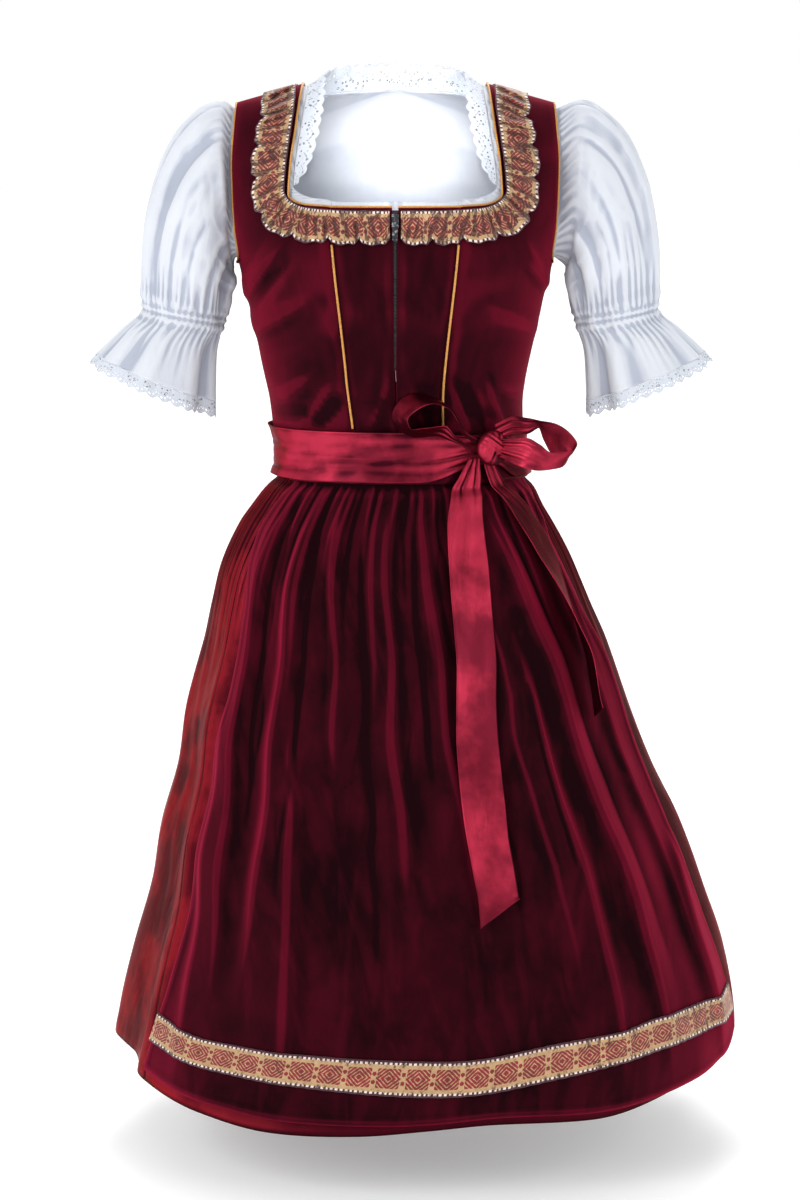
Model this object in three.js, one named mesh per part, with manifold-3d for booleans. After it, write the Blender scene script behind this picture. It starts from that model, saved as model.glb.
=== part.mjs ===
// A dirndl: velvet bodice, shot taffeta skirt, velvet apron tied with a taffeta ribbon, and the
// white puff-sleeved blouse worn under it. The garment stands hollow, as on a figure.
// Millimetres, +Z up, front towards -Y, the wearer's left towards +X. The origin is the middle
// of the shoulder line, where the wearer carries the dress.
import * as THREE from "three";
import { mergeVertices } from "three/addons/utils/BufferGeometryUtils.js";
import Module from "manifold-3d";

// ---------------------------------------------------------------- driving dimensions
const VELVET = 1.8; // wall thicknesses
const TAFFETA = 1.2;
const COTTON = 1.2;
const LACE = 1.0;
const BRAID = 1.0;
const SEAM_GAP = 0.3; // clear space left between two pieces that are sewn together
const ROUNDNESS = 2.2; // exponent of the rounded horizontal sections
const WAIST_SEAM_Z = -402;
const SHOULDER_SLOPE = 0.28; // fall of the shoulder line per millimetre outwards
const STRAP_NECK_X = 100; // inner end of the shoulder seam from the middle
const SHOULDER_ROUND = 70; // height over which the shoulder rounds over
const CUP_RISE = 7;
const CUP = { x: 85, z: -200, wide: 45, tall: 55 };
const CORD_RADIUS = 1.4;
const PIPING_RADIUS = 1.3;
const PIPING_CLEAR = 0.45; // beyond a panel's edge
const BLOUSE_INSET = 4; // the blouse body hangs this far inside the bodice
const APRON_TOP_Z = -412;

// Half width, front depth and back depth of the torso, and how far its middle stands to the side.
const TORSO = [
  { z: 30, half: 186, front: 78, back: 92, shift: -5 },
  { z: -60, half: 186, front: 94, back: 100, shift: -5 },
  { z: -110, half: 184, front: 111, back: 106, shift: -5 },
  { z: -150, half: 180, front: 125, back: 106, shift: -5 },
  { z: -192, half: 169, front: 132, back: 104, shift: -5 },
  { z: -230, half: 160, front: 129, back: 101, shift: -5 },
  { z: -270, half: 150, front: 120, back: 97, shift: -5 },
  { z: -310, half: 142, front: 110, back: 92, shift: -5 },
  { z: -335, half: 138, front: 105, back: 90, shift: -4 },
  { z: -361, half: 136, front: 101, back: 88, shift: -2 },
  { z: -380, half: 132.5, front: 97.5, back: 85.5, shift: 0 },
  { z: -402, half: 131, front: 96.6, back: 84.3, shift: 1 },
];

// Half width of the skirt's outermost fold line and how far its middle stands to the side.
const SKIRT = [
  { z: -402, half: 131, shift: 1 },
  { z: -421, half: 135, shift: 1 },
  { z: -432, half: 146, shift: 0 },
  { z: -454, half: 160, shift: -3 },
  { z: -471, half: 171, shift: -4 },
  { z: -515, half: 193, shift: -3 },
  { z: -560, half: 209, shift: 1 },
  { z: -604, half: 224, shift: 6 },
  { z: -672, half: 245, shift: 8 },
  { z: -740, half: 264, shift: 16 },
  { z: -808, half: 290, shift: 23 },
  { z: -877, half: 309, shift: 30 },
  { z: -946, half: 331, shift: 32 },
  { z: -1016, half: 346, shift: 31 },
  { z: -1090, half: 356, shift: 25 },
];
const SKIRT_HALF_SPREAD = 219; // from waist to hem
const SKIRT_WAIST_HALF = 135;
const SKIRT_FRONT = { waist: 100, spread: 185 };
const SKIRT_BACK = { waist: 88, spread: 202 };

// The skirt's hem, by angle round the body from the centre front (degrees, + to the wearer's left).
const SKIRT_HEM = [
  { angle: -180, z: -1062 },
  { angle: -130, z: -1055 },
  { angle: -77, z: -1052 },
  { angle: -59, z: -1060 },
  { angle: -42, z: -1074 },
  { angle: -26, z: -1082 },
  { angle: -10, z: -1078 },
  { angle: 11, z: -1067 },
  { angle: 28, z: -1069 },
  { angle: 44, z: -1059 },
  { angle: 65, z: -1041 },
  { angle: 90, z: -1046 },
  { angle: 130, z: -1058 },
  { angle: 180, z: -1062 },
];

// The apron's side edges, its hem, and the edges of the braid above the hem.
const APRON_EDGES = [
  { z: -412, left: -54, right: 77 },
  { z: -457, left: -57, right: 66 },
  { z: -490, left: -55, right: 62 },
  { z: -547, left: -50, right: 63 },
  { z: -625, left: -50, right: 67 },
  { z: -716, left: -53, right: 67 },
  { z: -816, left: -53, right: 66 },
  { z: -889, left: -54, right: 69 },
  { z: -970, left: -56, right: 72 },
  { z: -1045, left: -59, right: 73 },
];
const APRON_HEM = [
  { angle: -60, z: -1044 },
  { angle: -42, z: -1057 },
  { angle: -20, z: -1065 },
  { angle: -5, z: -1064 },
  { angle: 11, z: -1056 },
  { angle: 30, z: -1059 },
  { angle: 54, z: -1046 },
  { angle: 67, z: -1035 },
  { angle: 74, z: -1016 },
];
const BRAID_EDGES = [
  { angle: -60, top: -980, bottom: -1011 },
  { angle: -43, top: -992, bottom: -1022 },
  { angle: -15, top: -994, bottom: -1029 },
  { angle: 0, top: -996, bottom: -1033 },
  { angle: 21, top: -982, bottom: -1019 },
  { angle: 33, top: -977, bottom: -1010 },
  { angle: 46, top: -969, bottom: -1003 },
  { angle: 74, top: -966, bottom: -996 },
];

// The apron's folds: angles at the top, middle and foot of each, its rise, width and ends.
const APRON_FOLDS = [
  { top: -44, mid: -43, foot: -40, rise: -3, wide: 3.2, from: -421, to: -640 },
  { top: -32, mid: -32, foot: -36, rise: 5, wide: 3.4, from: -421, to: -760 },
  { top: -25, mid: -25, foot: -37, rise: -3, wide: 3, from: -423, to: -800 },
  { top: -15, mid: -14, foot: -12, rise: 4, wide: 3.2, from: -421, to: -780 },
  { top: -11, mid: -8, foot: -7, rise: -3, wide: 3.6, from: -421, to: -1000 },
  { top: 0, mid: -3, foot: -1, rise: 4.5, wide: 2.8, from: -421, to: -860 },
  { top: 6, mid: 5.5, foot: 7, rise: 3.5, wide: 2.6, from: -425, to: -820 },
  { top: 10, mid: 14, foot: 16, rise: -2.5, wide: 3, from: -425, to: -900 },
  { top: 22, mid: 25, foot: 27, rise: 3, wide: 3.4, from: -425, to: -960 },
  { top: 33, mid: 41, foot: 46, rise: 12, wide: 4.2, from: -425, to: -1075 },
  { top: 45, mid: 54, foot: 52, rise: -3, wide: 4, from: -425, to: -900 },
  { top: 67, mid: 67, foot: 67, rise: 6, wide: 3.4, from: -421, to: -830 },
  { top: 49, mid: 46, foot: 37, rise: 5, wide: 3.4, from: -640, to: -1070 },
  { top: 64, mid: 61, foot: 59, rise: 6, wide: 4.5, from: -820, to: -1070 },
  { top: -28, mid: -26, foot: -24, rise: 5, wide: 5, from: -760, to: -1075 },
  { top: -48, mid: -47, foot: -46, rise: 4, wide: 4, from: -700, to: -1075 },
];
const FOLD_MID_SHARE = 0.4; // where along its length a fold passes its middle angle
const FOLD_FADE = { in: 0.15, out: 0.7 }; // a fold grows and dies over these shares of its length
const GATHER = { rise: 1.8, pitch: 10, from: -421, full: -440, to: -530 };

// Seam lines of the bodice front, from the waist up: the princess seam's distance from the
// middle and its height, then the side seam's (or armhole's) angle and height on the same row.
const SIDE_FRONT_ROWS = [
  { x: 47, z: WAIST_SEAM_Z, angle: 90, zOut: WAIST_SEAM_Z },
  { x: 48, z: -356, angle: 90, zOut: -361 },
  { x: 52, z: -300, angle: 90, zOut: -310 },
  { x: 57, z: -250, angle: 90, zOut: -262 },
  { x: 62, z: -205, angle: 90, zOut: -222 },
  { x: 65, z: -175, angle: 90, zOut: -192 },
  { x: 67, z: -150, angle: 82, zOut: -189 },
  { x: 68, z: -128, angle: 75.5, zOut: -178 },
  { x: 95, z: -126, angle: 71.5, zOut: -155 },
  { x: 113, z: -116, angle: 69.5, zOut: -120 },
  { x: 111, z: -84, angle: 68.5, zOut: -84 },
  { x: 106, z: -48, angle: 66.2, zOut: -52 },
  { x: 103, z: -22, angle: 64.9, zOut: -33 },
  { x: STRAP_NECK_X, z: 0, angle: 64.1, zOut: 0, ridge: true },
];
const CENTRE_FRONT_COUNT = 8; // the rows that the centre front panels reach
const ZIP_EDGE = [0, 0, 3, 3.5, 3.5, 3.5, 3.5, 3.5]; // the centre edge on those rows
const BACK_ROWS = [
  { x: 0, z: WAIST_SEAM_Z, angle: 90, zOut: WAIST_SEAM_Z },
  { x: 0, z: -356, angle: 90, zOut: -361 },
  { x: 0, z: -300, angle: 90, zOut: -310 },
  { x: 0, z: -250, angle: 90, zOut: -262 },
  { x: 0, z: -205, angle: 90, zOut: -222 },
  { x: 0, z: -172, angle: 90, zOut: -192 },
  { x: 0, z: -142, angle: 82, zOut: -189 },
  { x: 0, z: -112, angle: 75.5, zOut: -178 },
  { x: 0, z: -80, angle: 71.5, zOut: -155 },
  { x: 0, z: -48, angle: 69.5, zOut: -120 },
  { x: 42, z: -46, angle: 68.5, zOut: -84 },
  { x: 78, z: -36, angle: 66.2, zOut: -52 },
  { x: 95, z: -18, angle: 64.9, zOut: -33 },
  { x: STRAP_NECK_X, z: 0, angle: 64.1, zOut: 0, ridge: true },
];
// The blouse body follows the same rows from the fourth up, with a smaller neck opening.
const BLOUSE_FIRST_ROW = 3;
const BLOUSE_FRONT_NECK = [
  { row: 7, x: 66, z: -122 },
  { row: 8, x: 92, z: -117 },
  { row: 9, x: 107, z: -106 },
  { row: 10, x: 105, z: -80 },
  { row: 11, x: 100, z: -48 },
  { row: 12, x: 96, z: -22 },
  { row: 13, x: 93, z: 0 },
];
const BLOUSE_BACK_NECK = [
  { row: 5, x: 0, z: -172, deeper: 0.6 },
  { row: 6, x: 0, z: -142, deeper: 1.2 },
  { row: 7, x: 0, z: -108 },
  { row: 8, x: 0, z: -72 },
  { row: 9, x: 0, z: -38, deeper: 1 },
  { row: 10, x: 0, z: -6, deeper: 4 },
  { row: 11, x: 56, z: -10, deeper: 6 },
  { row: 12, x: 84, z: -15, deeper: 4 },
  { row: 13, x: 93, z: 0 },
];

// Rings of the sleeve beyond the armhole: the ring's outermost and innermost points in the
// front view, its half depth, and how deep its gathers are.
const SLEEVE_RINGS = [
  { outX: 191, outZ: -17, inX: 179, inZ: -197, deep: 53, gather: 1 },
  { outX: 216, outZ: -26, inX: 178, inZ: -202, deep: 62, gather: 2.5 },
  { outX: 245, outZ: -58, inX: 177, inZ: -208, deep: 68, gather: 3 },
  { outX: 267, outZ: -108, inX: 178, inZ: -216, deep: 71, gather: 3.5 },
  { outX: 279, outZ: -168, inX: 180, inZ: -226, deep: 67, gather: 3 },
  { outX: 281, outZ: -226, inX: 186, inZ: -247, deep: 51, gather: 2 },
  { outX: 281, outZ: -243, inX: 190, inZ: -262, deep: 48, gather: 1.5 },
  { outX: 303, outZ: -261, inX: 197, inZ: -288, deep: 59, gather: 4 },
  { outX: 330, outZ: -286, inX: 199, inZ: -338, deep: 73, gather: 6 },
];
const CUFF_LACE_END = { outX: 339, outZ: -297, inX: 199, inZ: -357, deep: 79, gather: 6 };
const PICOT_DEPTH = 4;
const SLEEVE_GATHER_COUNT = 11;
const FLOUNCE_WAVE_COUNT = 9;
const CASING_RING = 6; // rings after this one belong to the flounce

// The neck lace is sewn to the blouse's neck edge. Its free edge, row by row from the front
// corner up to the shoulder, lies on the chest; from there round the back it stands up.
const NECK_LACE_FRONT = [
  { row: 9, freeX: 101, freeZ: -104 },
  { row: 10, freeX: 86, freeZ: -78 },
  { row: 11, freeX: 78, freeZ: -45 },
  { row: 12, freeX: 74, freeZ: -18 },
];
const NECK_LACE_BACK = [
  { row: 13, freeX: 73, freeZ: 11, lean: 3 },
  { row: 12, freeX: 70, freeZ: 15, lean: -3 },
  { row: 11, freeX: 52, freeZ: 19, lean: -3 },
  { row: 10, freeX: 0, freeZ: 22, lean: -4 },
];

// The braid that trims the neckline: its inner and outer edge along the neck.
const NECK_BRAID_FRONT = [
  { x: 6, z: -131, outX: 6, outZ: -164 },
  { x: 36, z: -131, outX: 36, outZ: -164 },
  { x: 68, z: -130, outX: 68, outZ: -163 },
  { x: 92, z: -128, outX: 106, outZ: -160 },
  { x: 108, z: -122, outX: 134, outZ: -148 },
  { x: 116, z: -110, outX: 148, outZ: -124 },
  { x: 114, z: -84, outX: 150, outZ: -88 },
  { x: 109, z: -48, outX: 145, outZ: -50 },
  { x: 106, z: -24, outX: 141, outZ: -32 },
  { x: 105.5, z: -9, outX: 140, outZ: -18.5 },
  { x: 105, z: -0.6, outX: 139, outZ: -9.6 },
];
const NECK_BRAID_BACK = [
  { x: 105, z: -0.6, outX: 139, outZ: -9.6 },
  { x: 105.5, z: -9, outX: 140, outZ: -20 },
  { x: 105, z: -22, outX: 139, outZ: -34 },
  { x: 96, z: -24, outX: 122, outZ: -46 },
  { x: 80, z: -40, outX: 98, outZ: -68 },
  { x: 44, z: -50, outX: 54, outZ: -82 },
  { x: 0, z: -52, outX: 0, outZ: -85 },
];
const NECK_BRAID_LIFT = 1.8;
const NECK_TUCK_PITCH = 32;
const NECK_BRAID_COLUMNS = 2;
const NECK_SCALLOP = 2.2; // how far the free edge swings in and out
const NECK_PUFF = 1.3; // half the rise of a puff between two tucks
const BACK_RUCHE = 0.35; // the braid behind the neck lies flatter

// The waist: the inner face of the apron's waistband, then the tie ribbon over it.
const WAIST_WRAP = [
  { z: -364, half: 138 },
  { z: -372, half: 136 },
  { z: -384, half: 134.4 },
  { z: -402, half: 134.6 },
  { z: -421, half: 139 },
];
const WRAP_FRONT_LESS = 34.6; // the wrap's front and back depths, less than its half width
const WRAP_BACK_LESS = 46.6;
const BAND = { top: -368, bottom: -419 };
const TIE = { top: -364, bottom: -417, lift: 3.3 };
const BAND_LIFT = TAFFETA;
const KNOT = { z: -381, wide: 20, deep: 12, tall: 20, seat: 1.2 };

// The bow's loops as pairs of ribbon edges, from the knot out, round and back to the knot.
const LOOP_RIGHT_HAND = [
  { near: [80, -104, -376], far: [84, -96, -372] },
  { near: [66, -118, -364], far: [68, -105, -362] },
  { near: [61, -130, -350], far: [59, -109, -346] },
  { near: [51, -138, -336], far: [42, -112, -329] },
  { near: [36, -142, -330], far: [19, -113, -321] },
  { near: [20, -141, -335], far: [2, -113, -327] },
  { near: [9, -137, -347], far: [-8, -112, -344] },
  { near: [14, -132, -357], far: [-3, -110, -358] },
  { near: [30, -130, -356], far: [16, -109, -368] },
  { near: [47, -127, -354], far: [36, -108, -367] },
  { near: [60, -119, -367], far: [54, -106, -372] },
  { near: [78, -106, -384], far: [80, -98, -388] },
];
const LOOP_LEFT_HAND = [
  { near: [100, -94, -356], far: [102, -92, -374] },
  { near: [121, -96, -347], far: [121, -96, -366] },
  { near: [134, -97, -349], far: [134, -92, -366] },
  { near: [148, -97, -352], far: [147, -86, -360] },
  { near: [164, -98, -355], far: [153, -87, -374] },
  { near: [177, -101, -362], far: [160, -90, -387] },
  { near: [187, -107, -375], far: [175, -99, -395] },
  { near: [182, -117, -381], far: [171, -114, -399] },
  { near: [160, -123, -383], far: [146, -122, -402] },
  { near: [146, -122, -374], far: [133, -121, -400] },
  { near: [132, -116, -368], far: [120, -114, -396] },
  { near: [104, -98, -372], far: [100, -96, -388] },
];

// The bow's hanging ends: angle round the skirt, height, lift off it, turn and width.
const TAIL_FRONT = [
  { angle: 30, z: -392, lift: 15, turn: 0, wide: 13 },
  { angle: 27, z: -411, lift: 17, turn: 0, wide: 26 },
  { angle: 24, z: -433, lift: 13, turn: 0, wide: 38 },
  { angle: 22, z: -466, lift: 12, turn: 4, wide: 42 },
  { angle: 20.5, z: -500, lift: 11, turn: 4, wide: 44 },
  { angle: 18.5, z: -554, lift: 10, turn: 0, wide: 45 },
  { angle: 15.5, z: -632, lift: 10, turn: -5, wide: 46 },
  { angle: 14, z: -696, lift: 11, turn: 5, wide: 46 },
  { angle: 13, z: -737, lift: 12, turn: 8, wide: 46 },
  { angle: 12.5, z: -783, lift: 11, turn: -4, wide: 46 },
  { angle: 12.5, z: -826, lift: 10, turn: 0, wide: 44 },
  { angle: 12.3, z: -848, lift: 10, turn: 0, wide: 42, slant: 30 },
];
const TAIL_BACK = [
  { angle: 38, z: -394, lift: 13, turn: 0, wide: 14 },
  { angle: 43, z: -422, lift: 13, turn: 0, wide: 24 },
  { angle: 49, z: -450, lift: 14, turn: -4, wide: 34 },
  { angle: 52, z: -482, lift: 15, turn: -10, wide: 38 },
  { angle: 52.5, z: -514, lift: 18, turn: -22, wide: 42 },
  { angle: 51, z: -552, lift: 24, turn: -40, wide: 44 },
  { angle: 49, z: -596, lift: 30, turn: -52, wide: 44 },
  { angle: 47.5, z: -632, lift: 30, turn: -52, wide: 44 },
  { angle: 47, z: -654, lift: 30, turn: -50, wide: 42, slant: -18 },
];

// The zip at the centre front.
const ZIP = { top: -131, bottom: -298, tapeHalf: 10, coilHalf: 2.3, tapeBack: 3.5, tapeFront: 2.5 };
const COIL_FRONT = 0.7; // the coil's front face behind the velvet's
const SLIDER = { wide: 7.2, tall: 14, thick: 2, z: -142, off: 0.9, stem: -0.3 };
const BRIDGE = { wide: 2.2, tall: 8.4, window: 3.2, rise: 3.4, bar: 0.9 };
const PULL = { long: 24, wide: 6, thick: 1.4, arm: 1.2, eye: 4.8, foot: 4.4 };

// ---------------------------------------------------------------- numbers and tables
const DEGREE = Math.PI / 180;
const point = (x, y, z) => new THREE.Vector3(x, y, z);
const mix = (a, b, t) => a + (b - a) * t;
const clamp01 = (t) => Math.min(1, Math.max(0, t));

function easeBetween(from, to, value) {
  const t = clamp01((value - from) / (to - from));
  return t * t * (3 - 2 * t);
}

// A column of a table, read between its rows by the key column.
function readTable(table, key, value, column) {
  const rising = table[table.length - 1][key] > table[0][key];
  const beyond = (row) => (rising ? row[key] >= value : row[key] <= value);
  const next = table.findIndex(beyond);
  if (next === 0) return table[0][column];
  if (next < 0) return table[table.length - 1][column];
  const a = table[next - 1];
  const b = table[next];
  return mix(a[column], b[column], (value - a[key]) / (b[key] - a[key]));
}

// ---------------------------------------------------------------- the body's surfaces
const acrossShare = (angle) => Math.sign(Math.sin(angle)) * Math.abs(Math.sin(angle)) ** (2 / ROUNDNESS);
const depthShare = (angle) => Math.abs(Math.cos(angle)) ** (2 / ROUNDNESS);
const ridgeHeight = (x) => SHOULDER_SLOPE * (STRAP_NECK_X - Math.abs(x));

// A point on the torso at an angle from the centre front, `inset` inside the bodice's face.
function torsoPoint(angle, z, inset = 0) {
  const x = (readTable(TORSO, "z", z, "half") - inset) * acrossShare(angle);
  const rise = clamp01((ridgeHeight(x) - inset - z) / SHOULDER_ROUND);
  const fullness = Math.sqrt(1 - (1 - rise) ** 2) * depthShare(angle);
  const middle = readTable(TORSO, "z", z, "shift");
  if (Math.cos(angle) < 0) {
    return point(x + middle, (readTable(TORSO, "z", z, "back") - inset) * fullness, z);
  }
  const fromCup = ((Math.abs(x) - CUP.x) / CUP.wide) ** 2 + ((z - CUP.z) / CUP.tall) ** 2;
  const front = readTable(TORSO, "z", z, "front") - inset + CUP_RISE * Math.exp(-fromCup);
  return point(x + middle, -front * fullness, z);
}

// The angle at which the torso stands a distance x from its middle.
function torsoAngle(x, z, back = false, inset = 0) {
  const half = readTable(TORSO, "z", z, "half") - inset;
  const angle = Math.asin(Math.min(1, x / half) ** (ROUNDNESS / 2));
  return back ? Math.PI - angle : angle;
}

// A point on the skirt's outermost surface, moved out by `lift`; the angle is in degrees.
function skirtPoint(degrees, z, lift = 0) {
  const angle = degrees * DEGREE;
  const half = readTable(SKIRT, "z", z, "half");
  const spread = (half - SKIRT_WAIST_HALF) / SKIRT_HALF_SPREAD;
  const facing = Math.cos(angle) > 0 ? SKIRT_FRONT : SKIRT_BACK;
  const depth = facing.waist + facing.spread * spread + lift;
  const side = Math.cos(angle) > 0 ? -1 : 1;
  const x = readTable(SKIRT, "z", z, "shift") + (half + lift) * acrossShare(angle);
  return point(x, side * depth * depthShare(angle), z);
}

function wrapPoint(degrees, z, lift = 0) {
  const angle = degrees * DEGREE;
  const half = readTable(WAIST_WRAP, "z", z, "half") + lift;
  const front = Math.cos(angle) > 0;
  const depth = half - (front ? WRAP_FRONT_LESS : WRAP_BACK_LESS);
  const x = readTable(TORSO, "z", z, "shift") + half * acrossShare(angle);
  return point(x, (front ? -1 : 1) * depth * depthShare(angle), z);
}

// ---------------------------------------------------------------- cloth from grids of points
const LEAST_MITRE = 0.5; // keeps a sharp corner from being drawn in too far
const keyOf = (p) => [p.x, p.y, p.z].map((v) => Math.round(v * 100) + 0).join(",");

function gridFaces(grid) {
  const faces = [];
  for (let i = 0; i + 1 < grid.length; i++) {
    for (let j = 0; j + 1 < grid[i].length; j++) {
      const corners = [grid[i][j], grid[i + 1][j], grid[i + 1][j + 1], grid[i][j + 1]];
      faces.push([corners[0], corners[1], corners[2]], [corners[0], corners[2], corners[3]]);
    }
  }
  return faces.filter(([a, b, c]) => new Set([keyOf(a), keyOf(b), keyOf(c)]).size === 3);
}

const faceNormal = ([a, b, c]) => b.clone().sub(a).cross(c.clone().sub(a));

// Turns a grid so that its faces look away from a point inside the garment.
function facingAway(grid, core) {
  let sum = 0;
  for (const face of gridFaces(grid)) {
    sum += faceNormal(face).dot(face[0].clone().sub(core));
  }
  return sum >= 0 ? grid : grid.map((row) => [...row].reverse());
}

// The normals of a whole garment sheet, so that panels sewn together agree along their seams.
function sheetNormals(grids) {
  const normals = new Map();
  for (const face of grids.flatMap(gridFaces)) {
    const normal = faceNormal(face);
    for (const corner of face) {
      const key = keyOf(corner);
      normals.set(key, (normals.get(key) ?? point(0, 0, 0)).add(normal));
    }
  }
  for (const normal of normals.values()) {
    normal.normalize();
  }
  return normals;
}

// A closed cloth wall under one or more grids that meet at their edges: the grids are its outer
// face, and its free edges are drawn in by half a seam.
function clothWall(grids, thickness, normals = sheetNormals(grids)) {
  const index = new Map();
  const outer = [];
  const directions = [];
  const faces = grids.flatMap(gridFaces).map((face) =>
    face.map((corner) => {
      const key = keyOf(corner);
      if (!index.has(key)) {
        index.set(key, outer.length);
        outer.push(corner.clone());
        directions.push(normals.get(key));
      }
      return index.get(key);
    }),
  );
  const directed = new Set(faces.flatMap(([a, b, c]) => [`${a},${b}`, `${b},${c}`, `${c},${a}`]));
  const edges = [...directed]
    .map((edge) => edge.split(",").map(Number))
    .filter(([a, b]) => !directed.has(`${b},${a}`));
  const draws = outer.map(() => []);
  for (const [a, b] of edges) {
    const along = outer[b].clone().sub(outer[a]);
    for (const end of [a, b]) {
      draws[end].push(directions[end].clone().cross(along).normalize());
    }
  }
  const drawn = outer.map((p, i) => {
    if (!draws[i].length) return p;
    const inwards = draws[i].reduce((sum, d) => sum.add(d), point(0, 0, 0)).normalize();
    const mitre = Math.max(LEAST_MITRE, inwards.dot(draws[i][0].clone().normalize()));
    return p.clone().addScaledVector(inwards, SEAM_GAP / 2 / mitre);
  });
  const inner = drawn.map((p, i) => p.clone().addScaledVector(directions[i], -thickness));
  const count = outer.length;
  const triangles = [...faces, ...faces.map(([a, b, c]) => [c + count, b + count, a + count])];
  for (const [a, b] of edges) {
    triangles.push([b, a, a + count], [b, a + count, b + count]);
  }
  return solidGeometry([...drawn, ...inner], triangles);
}

function solidGeometry(points, triangles) {
  const geometry = new THREE.BufferGeometry().setFromPoints(points);
  geometry.setIndex(triangles.flat());
  geometry.computeVertexNormals();
  return geometry;
}

// A grid from a function of row and column numbers.
function makeGrid(rows, columns, at) {
  return Array.from({ length: rows + 1 }, (_, i) => Array.from({ length: columns + 1 }, (_, j) => at(i, j)));
}

// ---------------------------------------------------------------- cords and lofts
// A route through given points that passes each of them exactly.
class Route extends THREE.Curve {
  constructor(points) {
    super();
    this.points = points;
  }
  getPoint(t) {
    const last = this.points.length - 1;
    const i = Math.min(last - 1, Math.floor(t * last + 1e-9));
    return this.points[i].clone().lerp(this.points[i + 1], t * last - i);
  }
  getPointAt(t) {
    return this.getPoint(t);
  }
  getTangentAt(t) {
    const last = this.points.length - 1;
    const i = Math.round(t * last);
    const before = this.points[Math.max(0, i - 1)];
    return this.points[Math.min(last, i + 1)].clone().sub(before).normalize();
  }
}

function cordGeometry(points, radius, sides = 6) {
  const section = new THREE.Shape();
  for (let k = 0; k < sides; k++) {
    const turn = (k / sides) * 2 * Math.PI;
    section[k ? "lineTo" : "moveTo"](radius * Math.cos(turn), radius * Math.sin(turn));
  }
  section.closePath();
  const extrudePath = new Route(points);
  return new THREE.ExtrudeGeometry(section, { steps: points.length - 1, bevelEnabled: false, extrudePath });
}

// A solid through rings of points with flat ends.
function loftGeometry(rings, section) {
  const count = section.length;
  const points = rings.flat();
  const triangles = [];
  for (let i = 0; i + 1 < rings.length; i++) {
    for (let j = 0; j < count; j++) {
      const a = i * count + j;
      const b = i * count + ((j + 1) % count);
      triangles.push([a, b, b + count], [a, b + count, a + count]);
    }
  }
  const last = (rings.length - 1) * count;
  for (const [a, b, c] of THREE.ShapeUtils.triangulateShape(section, [])) {
    triangles.push([c, b, a], [a + last, b + last, c + last]);
  }
  return solidGeometry(points, triangles);
}

// ---------------------------------------------------------------- joins and cuts
const wasm = await Module();
wasm.setup();

function toManifold(geometry) {
  const bare = geometry.index ? geometry.toNonIndexed() : geometry.clone();
  bare.deleteAttribute("normal");
  bare.deleteAttribute("uv");
  const merged = mergeVertices(bare, 1e-3);
  return new wasm.Manifold(
    new wasm.Mesh({
      numProp: 3,
      vertProperties: merged.attributes.position.array,
      triVerts: new Uint32Array(merged.index.array),
    }),
  );
}

function fromManifold(solid) {
  const mesh = solid.getMesh();
  const geometry = new THREE.BufferGeometry();
  geometry.setAttribute("position", new THREE.BufferAttribute(mesh.vertProperties, mesh.numProp));
  geometry.setIndex(new THREE.BufferAttribute(mesh.triVerts, 1));
  geometry.computeVertexNormals();
  return geometry;
}

// ---------------------------------------------------------------- materials
const cloth = (color, roughness, metalness = 0) =>
  new THREE.MeshStandardMaterial({ color, roughness, metalness, side: THREE.DoubleSide });
const velvet = () => cloth(0x3d0a14, 0.95);
const taffeta = () => cloth(0x6e1a2a, 0.42);
const ribbon = () => cloth(0x8f2a3e, 0.38);
const cotton = () => cloth(0xe6e8ef, 0.85);
const jacquard = () => cloth(0xb9935f, 0.7);
const gold = () => cloth(0xc98a2e, 0.5, 0.2);
const blackMetal = () => cloth(0x16181a, 0.4, 0.6);

const dirndl = new THREE.Group();

function add(name, geometry, material) {
  const mesh = new THREE.Mesh(geometry, material);
  mesh.name = name;
  dirndl.add(mesh);
  return mesh;
}

const SIDES = [
  { name: "right", sign: -1 }, // the wearer's right, on the left of the front view
  { name: "left", sign: 1 },
];

// A torso point on one side of the body's middle line.
function sidePoint(sign, angle, z, inset = 0, ridge = false) {
  const x = (readTable(TORSO, "z", z, "half") - inset) * acrossShare(angle);
  return torsoPoint(sign * angle, ridge ? ridgeHeight(x) - inset : z, inset);
}

// ---------------------------------------------------------------- bodice
const SIDE_COLUMNS = 7;
const CENTRE_COLUMNS = 3;
const TORSO_CORE = point(0, 0, -200);

function panelRow(sign, row, back, baseInset, columns) {
  const inset = baseInset + (row.deeper ?? 0);
  const from = torsoAngle(row.x, row.z, back, inset);
  const to = (back ? 180 - row.angle : row.angle) * DEGREE;
  return Array.from({ length: columns + 1 }, (_, j) => {
    const t = j / columns;
    return sidePoint(sign, mix(from, to, t), mix(row.z, row.zOut, t), inset, row.ridge);
  });
}

const panelGrid = (sign, rows, back, inset = 0) =>
  facingAway(rows.map((row) => panelRow(sign, row, back, inset, SIDE_COLUMNS)), TORSO_CORE);

function centreFrontGrid(sign) {
  const rows = SIDE_FRONT_ROWS.slice(0, CENTRE_FRONT_COUNT).map((row, i) => {
    const from = torsoAngle(ZIP_EDGE[i], row.z);
    const to = torsoAngle(row.x, row.z);
    return Array.from({ length: CENTRE_COLUMNS + 1 }, (_, j) =>
      sidePoint(sign, mix(from, to, j / CENTRE_COLUMNS), row.z),
    );
  });
  return facingAway(rows, TORSO_CORE);
}

const bodice = SIDES.flatMap(({ name, sign }) => [
  { name: `centre_front_${name}`, grid: centreFrontGrid(sign) },
  { name: `side_front_${name}`, grid: panelGrid(sign, SIDE_FRONT_ROWS, false) },
  { name: `bodice_back_${name}`, grid: panelGrid(sign, BACK_ROWS, true) },
]);
const bodiceNormals = sheetNormals(bodice.map((panel) => panel.grid));
for (const panel of bodice) {
  add(panel.name, clothWall([panel.grid], VELVET, bodiceNormals), velvet());
}

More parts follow.
